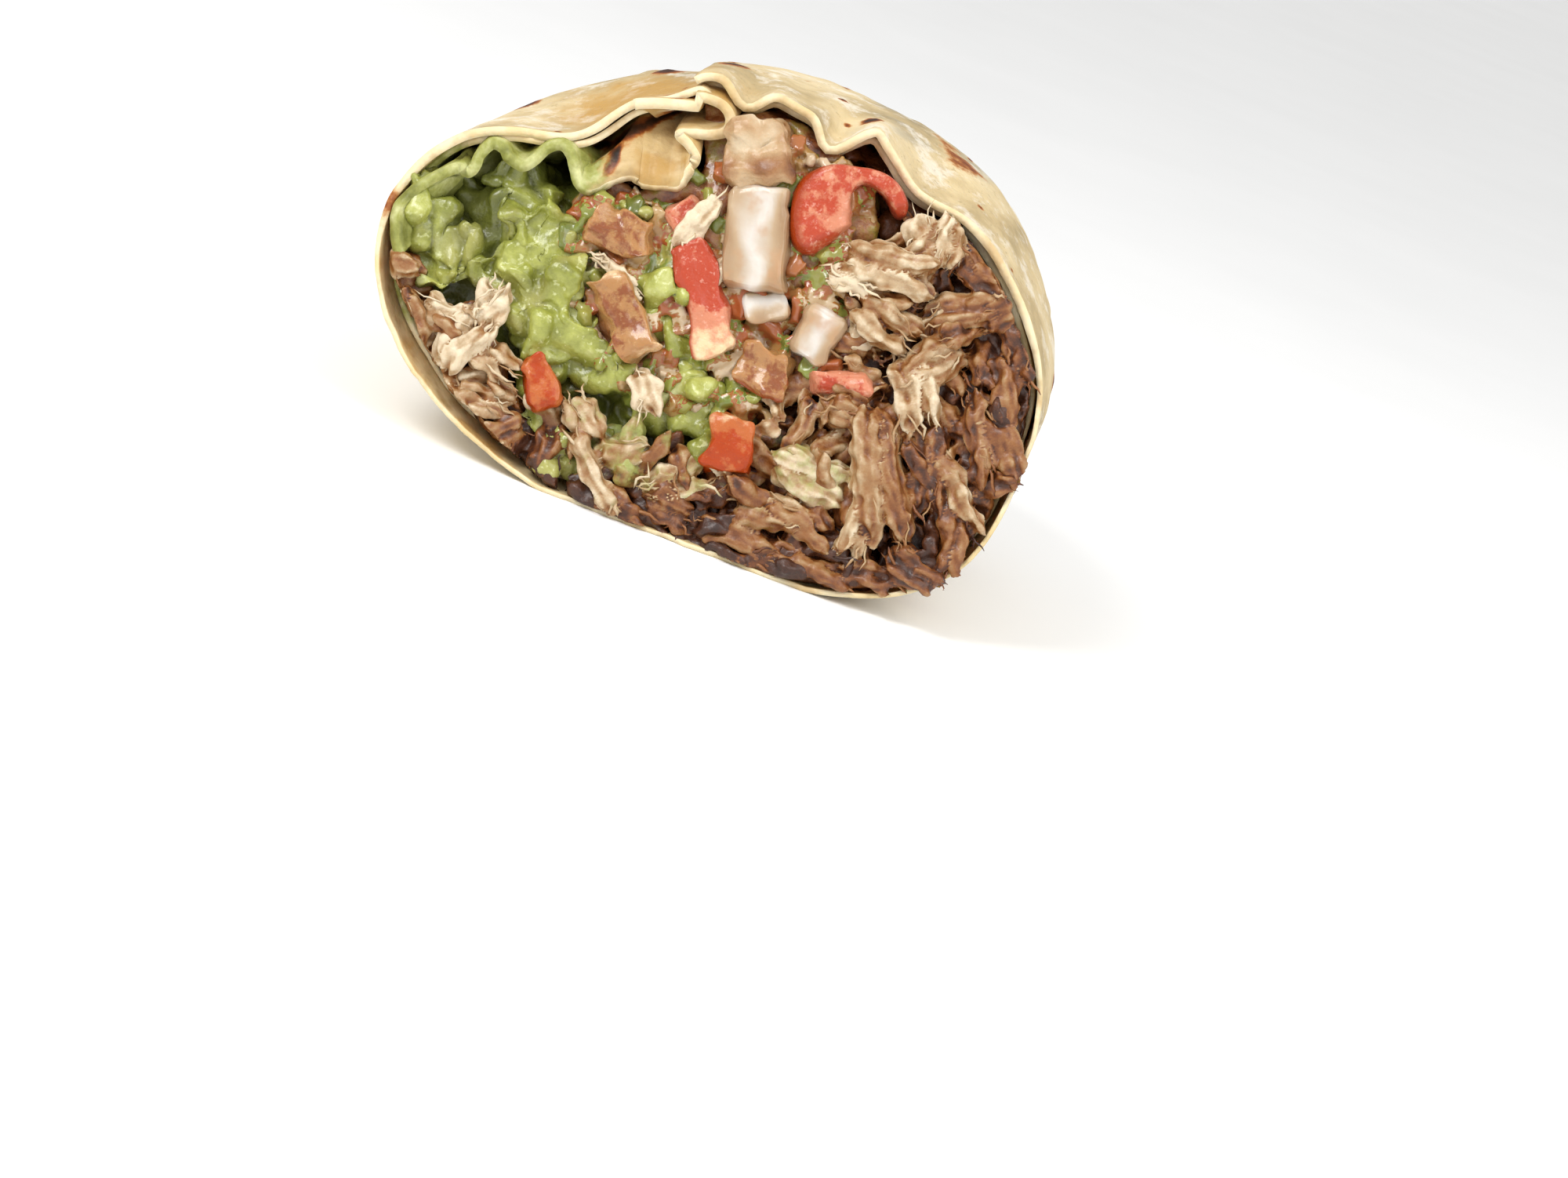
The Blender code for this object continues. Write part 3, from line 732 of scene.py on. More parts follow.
def make_spots(seed, count):
    """Griddle spots as points and radii: the chosen ones, then random ones away from the rim."""
    spots = [(body_point(math.radians(angle), along, 0), radius * MM) for angle, along, radius in HAND_SPOTS]
    rng = random.Random(seed)
    for _ in range(count):
        point = body_point(rng.uniform(0, 2 * math.pi), rng.uniform(0.12, 0.95), 0)
        radius = rng.uniform(0.7, 1.4) if rng.random() < 0.6 else rng.uniform(1.6, 3.0)
        if all((point - other).length > (radius * MM + size) * 1.4 for other, size in spots):
            spots.append((point, radius * MM))
    return spots


def spot_field(point, spots):
    """1 in the middle of a griddle spot, 0 at its edge and beyond."""
    best = 0.0
    for middle, radius in spots:
        near = (point - middle).length
        if near < radius * 1.6:
            ragged = near * (1 + 0.35 * wobble(point, 2.2, middle.x * 900))
            best = max(best, 1 - ragged / (radius * 1.25))
    return best


def skin_relief(point, along):
    """Dents, lengthwise creases and small bubbles of the outer skin, in mm."""
    creased = Vector((point.x, point.y * 0.22, point.z))
    relief = 0.75 * wobble(point, 16, 1) + 0.4 * wobble(creased, 7, 2) + 0.16 * wobble(point, 3.0, 3)
    blister = max(0.0, wobble(point, 5.0, 4) - 0.35)
    return relief + 0.7 * blister + 0.3 * smooth_step(0.72, 0.95, along) * wobble(creased, 3.4, 5)


def rim_thickness(point):
    """The sheet is stretched thin under the filling and stays full over the top."""
    right, up, proud = from_face(point)
    near = smooth_step(-9, -1, proud)
    low = smooth_step(14, -4, up + 0.25 * right)
    return 1 - near * (0.42 * low + 0.22 * (0.5 + 0.5 * wobble(point, 5, 61)))


def make_wrap(sizes, skin, inner, edge):
    """The outer layer, one turn round the half whose free edge laps over its start."""
    spots = make_spots(sizes.seed, sizes.spots)
    lap_over = math.radians(2.2)
    lap_under = math.radians(4.5)

    def place(across, share):
        angle = LAP_ANGLE + lap_over - across * (2 * math.pi + lap_over + lap_under)
        torn = 0.5 * noise.noise(Vector((angle * 9, 0.3, 0)))
        ragged = (torn + 0.25 * noise.noise(Vector((angle * 31, 1, 0)))) * MM
        along = math.sin(share * math.pi / 2) ** 1.25
        first = ragged / LENGTH
        along = first + (1 - first) * along
        turned = min(max(angle, LAP_ANGLE - 2 * math.pi + 0.0001), LAP_ANGLE - 0.0001)
        point = body_point(turned, along, 0)
        if turned != angle:
            # The lapped strips run on past the seam, one over the other.
            step = (angle - turned) * 27 * MM * (1 - along)
            point += Vector((-step, 0, -abs(step) * 0.3))
        held = (1 - 0.75 * math.exp(-max(0.0, along) * 14)) * smooth_step(1.0, 0.9, along)
        fuller = 2.8 * bump(math.degrees(angle) % 360, 52, 24) * bump(along, 0.36, 0.24)
        point += outward(angle) * ((skin_relief(point, along) * held + fuller) * MM - sag(angle, along))
        point += outward(angle) * spot_field(point, spots) * 0.3 * MM * held
        point.z = max(point.z, 0.0)
        return point

    bm = grid_sheet(380, 84, place)
    weld(bm)
    # The soft dough rounds off the pleats' steps at the closed end.
    tucked = [vert for vert in bm.verts if from_face(vert.co)[2] < TUCKED_FROM]
    for _ in range(TUCK_SMOOTHING):
        even_out(bm, tucked, 0.5)

    def stain(point):
        right, up, proud = from_face(point)
        return 1.2 * bump(right, -11, 12) * bump(up, 30, 7) * smooth_step(-30, -8, proud)

    fields = {"char": lambda point: spot_field(point, spots), "green": lambda point: 0.0, "stain": stain}
    wrap = finish_piece("tortilla_wrap", bm, (skin, inner, edge), "tortilla", ("tortilla",), fields)
    solidify(wrap, sizes.sheet, -1, 1, 2, rim_thickness)
    return wrap


def make_inner_turn(sizes, inner, edge):
    """The layer pressed against the inside of the wrap, its own edge a little behind."""

    def place(across, share):
        angle = across * 2 * math.pi
        waved = 0.5 + 0.7 * noise.noise(Vector((angle * 3.1, 4, 0)))
        behind = (waved + 0.3 * noise.noise(Vector((angle * 17, 2, 0)))) * MM
        shown = bump(math.degrees(angle), 138, 30)
        along = (behind + 3.2 * MM * (1 - shown)) / LENGTH + share * 0.5
        point = body_point(angle, along, sizes.sheet + sizes.layer_gap)
        part = 0.25 * MM * wobble(point, 6, 8)
        point += outward(angle) * (part - sag(angle, along))
        return point

    bm = grid_sheet(300, 22, place)
    bmesh.ops.remove_doubles(bm, verts=bm.verts, dist=WELD)
    fields = {
        "char": lambda point: 0.0,
        "green": lambda point: 0.75
        * bump(from_face(point)[0], -40, 9) * smooth_step(-8, 8, from_face(point)[1]),
    }
    turn = finish_piece("tortilla_inner_turn", bm, (inner, edge), "tortilla", (), fields)
    solidify(turn, sizes.sheet * 0.8, -1, 0, 1, rim_thickness)
    return turn


def held_under(point, gap):
    """Draws a point in until it lies a gap inside the wrap."""
    start = cut_setback(point.x, point.z)
    along = min(0.98, max(0.0, (point.y + ORIGIN_SETBACK - start) / (LENGTH - start)))
    low = (1 - TAPER_HEIGHT * along**TAPER_POWER) * math.cos(CUT_TILT)
    middle = (BELLY - FLAT_SINK) * low
    up = (point.z - middle) / low
    angle = math.atan2(up / (CROWN if up >= 0 else BELLY), point.x / (WIDTH / 2))
    turned = min(angle, LAP_ANGLE - 0.0001)
    edge = body_point(turned, along, gap) - outward(turned) * sag(angle, along)
    reach = math.hypot(edge.x, edge.z - middle)
    far = math.hypot(point.x, point.z - middle)
    if far <= reach:
        return point
    return Vector((point.x * reach / far, point.y, middle + (point.z - middle) * reach / far))


def make_fold(sizes, inner, edge):
    """The folded end: a ruffled sheet that runs back into the half and curls up to the top."""

    def place(across, share):
        flat = along_curve(FOLD_EDGE, across)
        later = along_curve(FOLD_EDGE, min(1.0, across + 0.02))
        middle = later.lerp(along_curve(FOLD_EDGE, max(0.0, across - 0.02)), 0.5)
        # Ruffles die away towards the back.
        flat = flat.lerp(middle, 0.5 * share)
        back = share * sizes.fold_depth
        # Where the ruffle laps over the rim its sheet dives back inside behind it.
        over = max(0.0, rim_share(flat.x, flat.y) - 0.90)
        flat = flat * (1 - 1.2 * over * smooth_step(0, 0.14, share))
        back -= 7 * over * MM * (1 - smooth_step(0, 0.2, share))
        ragged = 0.35 * noise.noise(Vector((across * 60, 5, 0))) * (1 - share) * MM
        # Left of the curl the sheet climbs steeply behind its edge, towards the layer above.
        climb = smooth_step(-21, -15, flat.x) * (1 - smooth_step(18, 25, flat.y))
        lift = 2.5 * (1 - math.exp(-share * 3.2)) + 7.5 * climb * (1 - math.exp(-share * 7))
        out = rim_share(flat.x, flat.y + lift) + sag(math.radians(90 - 0.8 * (flat.x + 5)), share) * 20
        if out > 0.93:
            lift -= (out - 0.93) * 34
        point = on_face(flat.x, flat.y + lift) + Vector((0, back + ragged, 0))
        relief = 0.35 * wobble(point, 4.5, 11) + 0.14 * wobble(point, 1.8, 12)
        point += AXES[1] * relief * MM * (0.4 + 0.6 * share)
        # The curl's side is held well under the wrap, the ruffles only where they run far back.
        side = smooth_step(-24, -18, flat.x)
        return point.lerp(
            held_under(point, (1.4 + 1.2 * side) * MM),
            smooth_step(0.16 - 0.14 * side, 0.6 - 0.44 * side, share),
        )

    bm = grid_sheet(330, 30, place)

    def green(point):
        right, _, proud = from_face(point)
        deep = 0.25 * smooth_step(-4, -16, proud) * smooth_step(-33, -24, right)
        return 1.05 - smooth_step(-22, -10.5, right) - deep

    def char(point):
        right, up, proud = from_face(point)
        # A C-shaped scorch ring, and a scorched strip where the fold meets the layer above.
        from_ring = math.hypot(right + 14.9, up - 22.4)
        ring = bump(from_ring, 1.7, 0.6) * (1.0 - 0.7 * bump(right, -13.2, 0.9) * smooth_step(22.4, 23.4, up))
        strip = 0.8 * bump(up - 0.62 * (right + 10), 26.0, 1.0) * smooth_step(-17, -11, right)
        strip *= 1 - smooth_step(-3.5, -2, right)
        return max(ring, strip) * smooth_step(-0.2, -0.9, proud)

    fold = finish_piece("tortilla_fold", bm, (inner, edge), "tortilla", (), {"green": green, "char": char})
    solidify(fold, sizes.fold_sheet, 0, 0, 1)
    return fold


def icosphere_at(bm, middle, axes, halves, subdivisions=3, power=2.0):
    """Adds a round lump, or at a higher power a soft box, of the given half sizes."""
    made = bmesh.ops.create_icosphere(bm, subdivisions=subdivisions, radius=1)
    for vert in made["verts"]:
        co = vert.co
        length = (abs(co.x) ** power + abs(co.y) ** power + abs(co.z) ** power) ** (1 / power)
        soft = co / length
        vert.co = middle + sum((axis * half * part for axis, half, part in zip(axes, halves, soft)), Vector())
    return made["verts"]


def paste_relief(point):
    """Smeared ridges, creases and small lumps of a wet paste, in mm."""
    streaked = Vector((point.x, point.y, point.z + point.x * 0.8))
    ridge = 1 - abs(wobble(streaked, 3.0, 21)) * 2.4
    crease = -1.1 * bump(wobble(point, 5.5, 24), 0.0, 0.10)
    lumps = 0.8 * wobble(point, 4.4, 20) + 0.34 * wobble(point, 1.9, 23)
    return lumps + 0.26 * ridge + crease + 0.08 * wobble(point, 0.8, 22)


def make_guacamole(paste):
    """Guacamole: its solid with smears pushed out between the other fillings, melted into one paste."""
    bm = solid_copy("guacamole")
    for vert in bm.verts:
        vert.co -= FACE_NORMAL * 4.2 * MM * smooth_step(-9, -3, from_face(vert.co)[2])
    rng = random.Random(15)
    for right, up, long, across, turn, proud in SMEARS:
        axes = filling_axes(math.radians(turn))
        icosphere_at(bm, on_face(right, up, proud - 3.0), axes, (long * MM, across * MM, 3.0 * MM))
        # Small lumps of avocado that weren't mashed.
        for _ in range(3):
            beside = on_face(
                right + rng.uniform(-0.9, 0.9) * across * 1.3, up + rng.uniform(-0.9, 0.9) * across * 1.3,
                proud - rng.uniform(0.9, 2.6),
            )
            halves = [rng.uniform(1.0, 2.4) * MM for _ in range(3)]
            icosphere_at(bm, beside, tilted(rng.uniform(0, 180), rng.uniform(-40, 40)), halves, 2, 3.0)
    mesh = bpy.data.meshes.new("smears")
    bm.to_mesh(mesh)
    bm.free()
    bm = remeshed(mesh, PASTE_VOXEL)
    for vert in bm.verts:
        if from_face(vert.co)[2] > -12:
            warp = drift(vert.co / (4.5 * MM)) * 1.9 + drift(vert.co / (1.9 * MM)) * 0.5
            vert.co += (warp - FACE_NORMAL * warp.dot(FACE_NORMAL) * 0.4) * MM
    bm.normal_update()
    for vert in bm.verts:
        if from_face(vert.co)[2] > -12:
            vert.co += vert.normal * paste_relief(vert.co) * MM
    even_out(bm, bm.verts, 0.3)
    return finish_piece("guacamole_paste", bm, (paste,), "guacamole", ("guacamole",), {"painted_shade": painted_shade_share})


def painted_shade_share(point):
    """Painted shade: 0 at the cut and 1 in the hollows behind it, and more in the upper left corner."""
    right, up, proud = from_face(point)
    corner = 0.5 * smooth_step(-24, -30, right) * smooth_step(8, 14, up)
    hollow = smooth_step(-0.6, -5.0, proud + 0.8 * wobble(point, 2.5, 25))
    return min(1.0, corner * smooth_step(0.6, -1.4, proud) + hollow)


def make_core(name, node, material, slot, voxel, sink, lumps, fields=None):
    """A filling's solid with its front drawn back and roughened, for loose pieces to lie on."""
    bm = solid_copy(node)
    mesh = bpy.data.meshes.new(name)
    bm.to_mesh(mesh)
    bm.free()
    bm = remeshed(mesh, voxel)
    bm.normal_update()
    for vert in bm.verts:
        proud = from_face(vert.co)[2]
        if proud > -9:
            vert.co -= FACE_NORMAL * sink * MM * smooth_step(-9, -3, proud)
            relief = wobble(vert.co, 4.0, 31) + 0.5 * wobble(vert.co, 1.8, 32)
            vert.co += vert.normal * relief * lumps * MM
    return finish_piece(name, bm, (material,), slot, (node,), fields)


def shred_template(sides, cuts):
    """One fibre: a capped prism from -1 to 1 that each fibre is bent from."""
    bm = bmesh.new()
    bmesh.ops.create_cone(bm, cap_ends=True, segments=sides, radius1=1, radius2=1, depth=2)
    upright = [edge for edge in bm.edges if abs(edge.verts[0].co.z - edge.verts[1].co.z) > 1]
    bmesh.ops.subdivide_edges(bm, edges=upright, cuts=cuts, use_grid_fill=True)
    mesh = bpy.data.meshes.new("shred")
    bm.to_mesh(mesh)
    bm.free()
    return mesh


def scattered(name, template, places, materials, slot):
    """Many bent copies of one small shape: each place gives a vertex its point, tint and green."""
    bm = bmesh.new()
    for _ in places:
        bm.from_mesh(template)
    bm.verts.ensure_lookup_table()
    count = len(template.vertices)
    tints, greens = [], []
    for index, place in enumerate(places):
        for vert in bm.verts[index * count : (index + 1) * count]:
            vert.co, tint, green = place(vert.co)
            tints.append(tint)
            greens.append(green)
    piece = finish_piece(name, bm, materials, slot, (), recalculate=False)
    paint(piece.data, tint=tints, green=greens)
    return piece


def hollowness(vert):
    """Positive in a crevice and negative on a ridge, about -1 to 1."""
    around = Vector()
    reach = 0.0
    for edge in vert.link_edges:
        away = edge.other_vert(vert).co - vert.co
        around += away
        reach += away.length
    return around.dot(vert.normal) / reach if reach else 0.0


def melted(name, template, places, voxel, materials, slot, nodes=(), grain=0.2, painted_crevice_shade=0.8, mottled=0.12):
    """Bent copies of one small shape, melted into lumps that keep their grain, with each one's tint, darkened
    in crevices and lightened on ridges as painted shade and light.
    """
    bm = bmesh.new()
    for _ in places:
        bm.from_mesh(template)
    bm.verts.ensure_lookup_table()
    count = len(template.vertices)
    tree = kdtree.KDTree(len(bm.verts))
    values = []
    for index, (place, along) in enumerate(places):
        for vert in bm.verts[index * count : (index + 1) * count]:
            vert.co, tint, green = place(vert.co)
            tree.insert(vert.co, len(values))
            values.append((tint, green, along))
    tree.balance()
    mesh = bpy.data.meshes.new(name)
    bm.to_mesh(mesh)
    bm.free()
    bm = remeshed(mesh, voxel)
    even_out(bm, bm.verts, 0.4)
    bm.normal_update()
    tints, greens = [], []
    for vert in bm.verts:
        tint, green, along = values[tree.find(vert.co)[1]]
        streak = vert.co - along * vert.co.dot(along) * 0.84
        fine = wobble(streak, 0.85, 51)
        torn = wobble(vert.co, 1.5, 52)
        broad = wobble(vert.co, 3.2, 54)
        vert.co += vert.normal * (fine * grain + torn * grain * 1.7 + broad * grain * 1.6) * MM
        tints.append(tint - mottled * (fine + 0.5 * torn) + 1.4 * mottled * wobble(streak, 3.0, 53))
        greens.append(green)
    bm.normal_update()
    # Painted shade in crevices and painted light on ridges, added to the tints.
    for index, vert in enumerate(bm.verts):
        vert.co.z = max(vert.co.z, 0.1 * MM)
        tints[index] = min(0.9, max(0.0, tints[index] + painted_crevice_shade * hollowness(vert)))
    piece = finish_piece(name, bm, materials, slot, nodes, recalculate=False)
    paint(piece.data, tint=tints, green=greens)
    return piece


def flake(middle, axes, long, wide, thick, tint, green, seed, bow, twist, pull, browned=0.2):
    """A torn piece of meat: a flat lobe ridged along its grain, its ends pulled to uneven lengths."""
    along, across, deep = axes
    shift = Vector((seed, -seed, seed * 0.7))

    def place(co):
        t = co.z
        around = math.hypot(co.x, co.y)
        if around > 0.0001:
            unit_x, unit_y = co.x / around, co.y / around
        else:
            unit_x, unit_y = 1.0, 0.0
        square = (abs(unit_x) ** 2.8 + abs(unit_y) ** 2.8) ** (-1 / 2.8)
        grain = Vector((unit_x * wide, unit_y * thick, t * long * 0.10)) / (1.5 * MM) + shift
        fine = noise.noise(grain)
        coarse = noise.noise(grain * 0.42 + shift)
        full = (1 - abs(t) ** 6) ** 0.45 * (1 - 0.45 * pull * (t + 1) / 2)
        torn = t * (long / 2 + (1.2 * fine + 1.8 * coarse) * MM * t * t)
        lump = noise.noise(Vector((unit_x, unit_y, t * long / (3.2 * MM))) + shift)
        proud = (0.30 * fine + 0.55 * coarse + 0.75 * lump) * MM * min(1.0, around * 1.6)
        x = unit_x * square * (wide / 2 * full + proud)
        y = unit_y * square * (thick / 2 * full + proud)
        turned = twist * t + 0.25 * noise.noise(shift + Vector((t, 0, 0)))
        x, y = x * math.cos(turned) - y * math.sin(turned), x * math.sin(turned) + y * math.cos(turned)
        swayed = 0.8 * MM * noise.noise(shift + Vector((t * 1.2, 9, 0)))
        point = middle + along * torn + across * (x + swayed) + deep * (y + bow * (1 - t * t))
        point = kept_inside(point)
        # Pieces lying further behind the cut are darker: painted shade.
        painted_shade = smooth_step(-0.6, -4.5, from_face(point)[2])
        return point, tint - 0.12 * fine - 0.18 * coarse + browned * abs(t) ** 4 + 0.34 * painted_shade, green

    return place, along


def fibre(middle, axes, long, radius, flat, bow, sway, tint, green, seed):
    """A tapered fibre bent in an arc: middle and sizes in metres."""
    along, across, deep = axes

    def place(co):
        t = co.z
        thick = radius * (1 - 0.75 * abs(t) ** 3) * (1 + 0.25 * noise.noise(Vector((t * 2.3, seed, 0))))
        swayed = noise.noise(Vector((t * 1.4, seed, 7)))
        point = (
            middle
            + along * (t * long / 2)
            + across * (sway * swayed + co.x * thick)
            + deep * (bow * (1 - t * t) + co.y * thick * flat)
        )
        return kept_inside(point), min(1.0, tint + 0.25 * abs(t) ** 4), green

    return place


def frays(rng, middle, axes, long, wide, tint, green, count):
    """Fine fibres pulled loose along a torn piece of meat and past its ends."""
    along, across, deep = axes
    made = []
    for _ in range(count):
        turn = rng.gauss(0, 0.28)
        leaned = along * math.cos(turn) + across * math.sin(turn)
        slipped = along * rng.choice((-1, 1)) * rng.uniform(0.2, 0.5) * long
        raised = across * rng.uniform(-0.45, 0.45) * wide + deep * rng.uniform(0.0, 0.35) * wide
        made.append(
            fibre(
                middle + slipped + raised, (leaned, deep.cross(leaned), deep), rng.uniform(1.8, 4.6) * MM,
                rng.uniform(0.09, 0.24) * MM, 0.8, rng.uniform(-0.3, 0.8) * MM, rng.uniform(0.3, 1.4) * MM,
                max(0.0, tint + rng.uniform(-0.2, 0.1)), green, rng.uniform(0, 99),
            )
        )
    return made


def tilted(turn, pitch, roll=0.0):
    """Axes turned on the face, then tipped out of it and rolled about their length; degrees."""
    along, across, deep = filling_axes(math.radians(turn))
    pitch, roll = math.radians(pitch), math.radians(roll)
    tipped = along * math.cos(pitch) + deep * math.sin(pitch)
    deep = tipped.cross(across)
    across = deep.cross(tipped)
    rolled = across * math.cos(roll) + deep * math.sin(roll)
    return tipped, rolled, tipped.cross(rolled)


# The meat's tone away from the rim, the right side and the bottom, from 0 pale to 1 dark.
MEAT_TONE = 0.42


def meat_tone(right, up):
    """How dark the meat is at a place on the face: darker towards the rim and the bottom, and browner on the
    right side.
    """
    edge = smooth_step(0.72, 0.98, rim_share(right, up))
    side = smooth_step(8, 36, right)
    low = smooth_step(-14, -26, up + 0.25 * right)
    left = smooth_step(-24, -32, right)
    return MEAT_TONE + 0.26 * edge * (1 - left) + 0.23 * side + 0.40 * low * (1 - left) - 0.01 * left


def meat_green(right, up):
    """How much guacamole is smeared on the meat at a place on the face."""
    middle = 0.62 * bump(right, -13, 10) * bump(up, -15, 8)
    tip = 0.35 * bump(right, -34, 6) * bump(up, 6, 5)
    return middle + tip + 0.3 * bump(right, 7, 6) * bump(up, -17, 5)


def kept_inside(point):
    """Draws a point of filling in from the wall, or at the lower right lets it spill over the rim."""
    right, up, proud = from_face(point)
    share = rim_share(right, up)
    spilled = smooth_step(0.2, 1.2, proud) * smooth_step(8, 22, right) * smooth_step(0, -12, up)
    bare = smooth_step(-22, -31, right) * smooth_step(10, 2, up)
    most = 0.955 + 0.06 * spilled - 0.04 * bare
    if share > most:
        drawn = most + (share - most) * 0.12
        point = on_face(right * drawn / share, up * drawn / share, proud)
    point.z = max(point.z, 0.4 * MM)
    return point


def is_meat(right, up, margin):
    if rim_share(right, up) > 0.96:
        return False
    if any(inside_oval(right, up, region, -margin) < 1 for region in (SALSA_REGION, GUACAMOLE_REGION)):
        return False
    return up < 13


def lobe_template(around, along):
    """A unit ball whose rings run along the grain, that each torn piece of meat is shaped from."""
    bm = bmesh.new()
    bmesh.ops.create_uvsphere(bm, u_segments=around, v_segments=along, radius=1)
    mesh = bpy.data.meshes.new("lobe")
    bm.to_mesh(mesh)
    bm.free()
    return mesh


def scatter_meat(name, seed, count, proud, spacing, sizes_mm, shade, voxel, template, material):
    """Torn pieces laid over the meat, no two middles closer than the spacing; gives back their frays."""
    rng = random.Random(seed)
    placed, places, loose = [], [], []
    for tried in range(count * 40):
        if len(placed) >= count:
            break
        right, up = rng.uniform(-44, 44), rng.uniform(-36, 26)
        if tried % 3 == 0:
            # Every third piece goes against the wall.
            share = rim_share(right, up) + 0.0001
            right, up = right * 0.93 / share, up * 0.93 / share
        if not is_meat(right, up, 1.5):
            continue
        if any(math.hypot(right - x, up - y) < spacing for x, y in placed):
            continue
        placed.append((right, up))
        out = rng.uniform(*proud)
        turn = rng.gauss(-70 if right > 24 else 10, 48)
        axes = tilted(turn, rng.uniform(-34, 34), rng.uniform(-60, 60))
        long = rng.uniform(*sizes_mm) * MM
        wide = min(long * rng.uniform(0.36, 0.66), 4.4 * MM)
        tone = meat_tone(right, up) + shade + rng.gauss(0, 0.10)
        green = meat_green(right, up) + rng.uniform(-0.15, 0.1)
        middle = on_face(right, up, out)
        places.append(
            flake(
                middle, axes, long, wide, wide * rng.uniform(0.45, 0.8), tone, green, rng.uniform(0, 99),
                rng.uniform(-0.4, 0.8) * MM, rng.uniform(-0.7, 0.7), rng.uniform(0, 1), rng.uniform(0, 0.3),
            )
        )
        loose += frays(rng, middle, axes, long, wide, tone - 0.1, green, rng.randrange(0, 3))
    melted(name, template, places, voxel, (material,), "shredded_meat")
    return loose


HERO_MEAT = (
    # right, up, proud, long, wide, turn, pitch, roll, tint, green, bow
    (21.4, 7.6, 1.8, 12.5, 6.6, -12, 6, 18, 0.24, 0.0, 0.6),
    (16.6, 6.0, 1.6, 5.4, 3.6, -28, 10, -25, 0.08, 0.0, 0.2),
    (26.0, 9.6, 1.2, 8.0, 4.6, 40, 6, 10, 0.18, 0.0, 0.3),
    (29.4, 11.4, 1.6, 7.0, 4.0, 76, 0, 20, 0.04, 0.0, 0.4),
    (25.2, 12.6, 1.4, 4.8, 3.0, 62, 8, -20, 0.03, 0.0, 0.3),
    (33.4, 6.6, 0.8, 8.6, 4.4, -40, 4, 15, 0.62, 0.0, 0.3),
    (31.0, 1.8, 1.0, 10.5, 3.6, 8, 8, -10, 0.40, 0.0, 0.4),
    (36.0, 2.6, 1.2, 7.6, 3.4, 22, 10, 15, 0.55, 0.0, 0.3),
    (26.8, -4.4, 1.0, 8.4, 5.6, 30, 0, 20, 0.30, 0.0, 0.3),
    (20.8, 0.6, 1.2, 9.0, 5.0, -36, -4, 10, 0.22, 0.0, 0.5),
    (24.6, -8.2, 1.4, 8.8, 5.4, -75, 5, 0, 0.26, 0.0, 0.4),
    (20.2, -18.6, 1.8, 17.0, 7.2, -84, 3, 6, 0.34, 0.0, 0.7),
    (17.8, -25.0, 1.4, 9.0, 4.0, -110, 6, -20, 0.30, 0.0, 0.3),
    (26.6, -18.0, 0.8, 11.0, 4.6, -96, 4, 25, 0.55, 0.0, 0.3),
    (33.0, -14.0, 0.8, 12.0, 3.8, -78, 4, -15, 0.42, 0.0, 0.4),
    (36.2, -8.0, 0.8, 10.0, 3.6, -84, 5, 20, 0.50, 0.0, 0.3),
    (30.0, -27.0, 0.8, 11.0, 4.2, -98, 4, 10, 0.60, 0.0, 0.3),
    (38.4, -3.0, 0.8, 8.6, 3.6, -70, 10, 30, 0.66, 0.0, 0.4),
    (15.6, -10.4, 1.0, 5.4, 4.2, -20, 10, 10, 0.42, 0.0, 0.2),
    (11.6, -18.6, 1.0, 10.0, 6.2, -26, -4, 12, 0.20, 0.42, 0.4),
    (6.0, -23.4, 0.8, 9.0, 4.6, -14, 6, -10, 0.24, 0.25, 0.3),
    (-6.0, -19.6, 0.8, 8.4, 5.0, 16, 4, 10, 0.24, 0.40, 0.3),
    (-12.8, -15.6, 1.0, 7.6, 3.4, 8, 12, -16, 0.16, 0.40, 0.3),
    (-6.6, -22.8, 0.6, 6.8, 4.6, -30, 0, 30, 0.52, 0.0, 0.3),
    (2.2, -27.4, 0.4, 12.0, 3.6, -22, 4, 10, 0.50, 0.0, 0.3),
    (10.6, -29.6, 0.4, 13.0, 4.0, -18, 3, -10, 0.48, 0.0, 0.3),
    (19.0, -31.6, 0.6, 10.0, 4.0, -8, 3, 10, 0.60, 0.0, 0.3),
    (-29.6, 2.6, 1.2, 7.6, 4.8, 66, 6, 10, 0.12, 0.0, 0.4),
    (-33.0, -1.4, 1.2, 8.4, 5.2, 50, 8, -14, 0.05, 0.0, 0.4),
    (-35.2, 2.0, 0.6, 6.4, 4.0, -20, 5, 20, 0.16, 0.25, 0.3),
    (-29.0, -4.0, 1.0, 6.6, 4.4, -38, 5, 20, 0.20, 0.05, 0.3),
    (-31.0, -9.0, 0.8, 8.6, 4.0, -16, 5, 0, 0.34, 0.0, 0.3),
    (-17.6, -11.6, 1.0, 6.0, 4.4, -64, 8, 10, 0.26, 0.3, 0.3),
    (-9.8, -8.2, 1.6, 5.4, 3.0, -70, 10, 8, 0.10, 0.05, 0.3),
    (-2.8, 13.6, 1.8, 8.0, 2.6, 48, 6, 10, 0.06, 0.0, 0.3),
    (0.6, 8.6, 1.0, 7.0, 1.9, 66, 4, 0, 0.06, 0.0, 0.2),
    (-16.2, -18.4, 2.0, 11.0, 2.4, -64, 2, 10, 0.14, 0.25, 0.2),
    (-13.4, -23.0, 0.8, 8.0, 3.4, -30, 4, 10, 0.44, 0.0, 0.3),
    (10.6, -24.6, 1.0, 9.0, 4.4, -34, 4, -10, 0.34, 0.1, 0.3),
    (36.4, -15.6, 1.0, 11.0, 3.4, -66, 4, 10, 0.46, 0.0, 0.3),
    (30.2, -20.6, 1.4, 12.0, 2.2, -62, 4, 10, 0.22, 0.0, 0.3),
    (25.0, -31.0, 1.6, 9.0, 4.4, -40, 4, 10, 0.60, 0.0, 0.3),
    (-13.4, 7.2, 1.4, 6.6, 1.5, -38, 4, 10, -0.05, 0.0, 0.3),
)


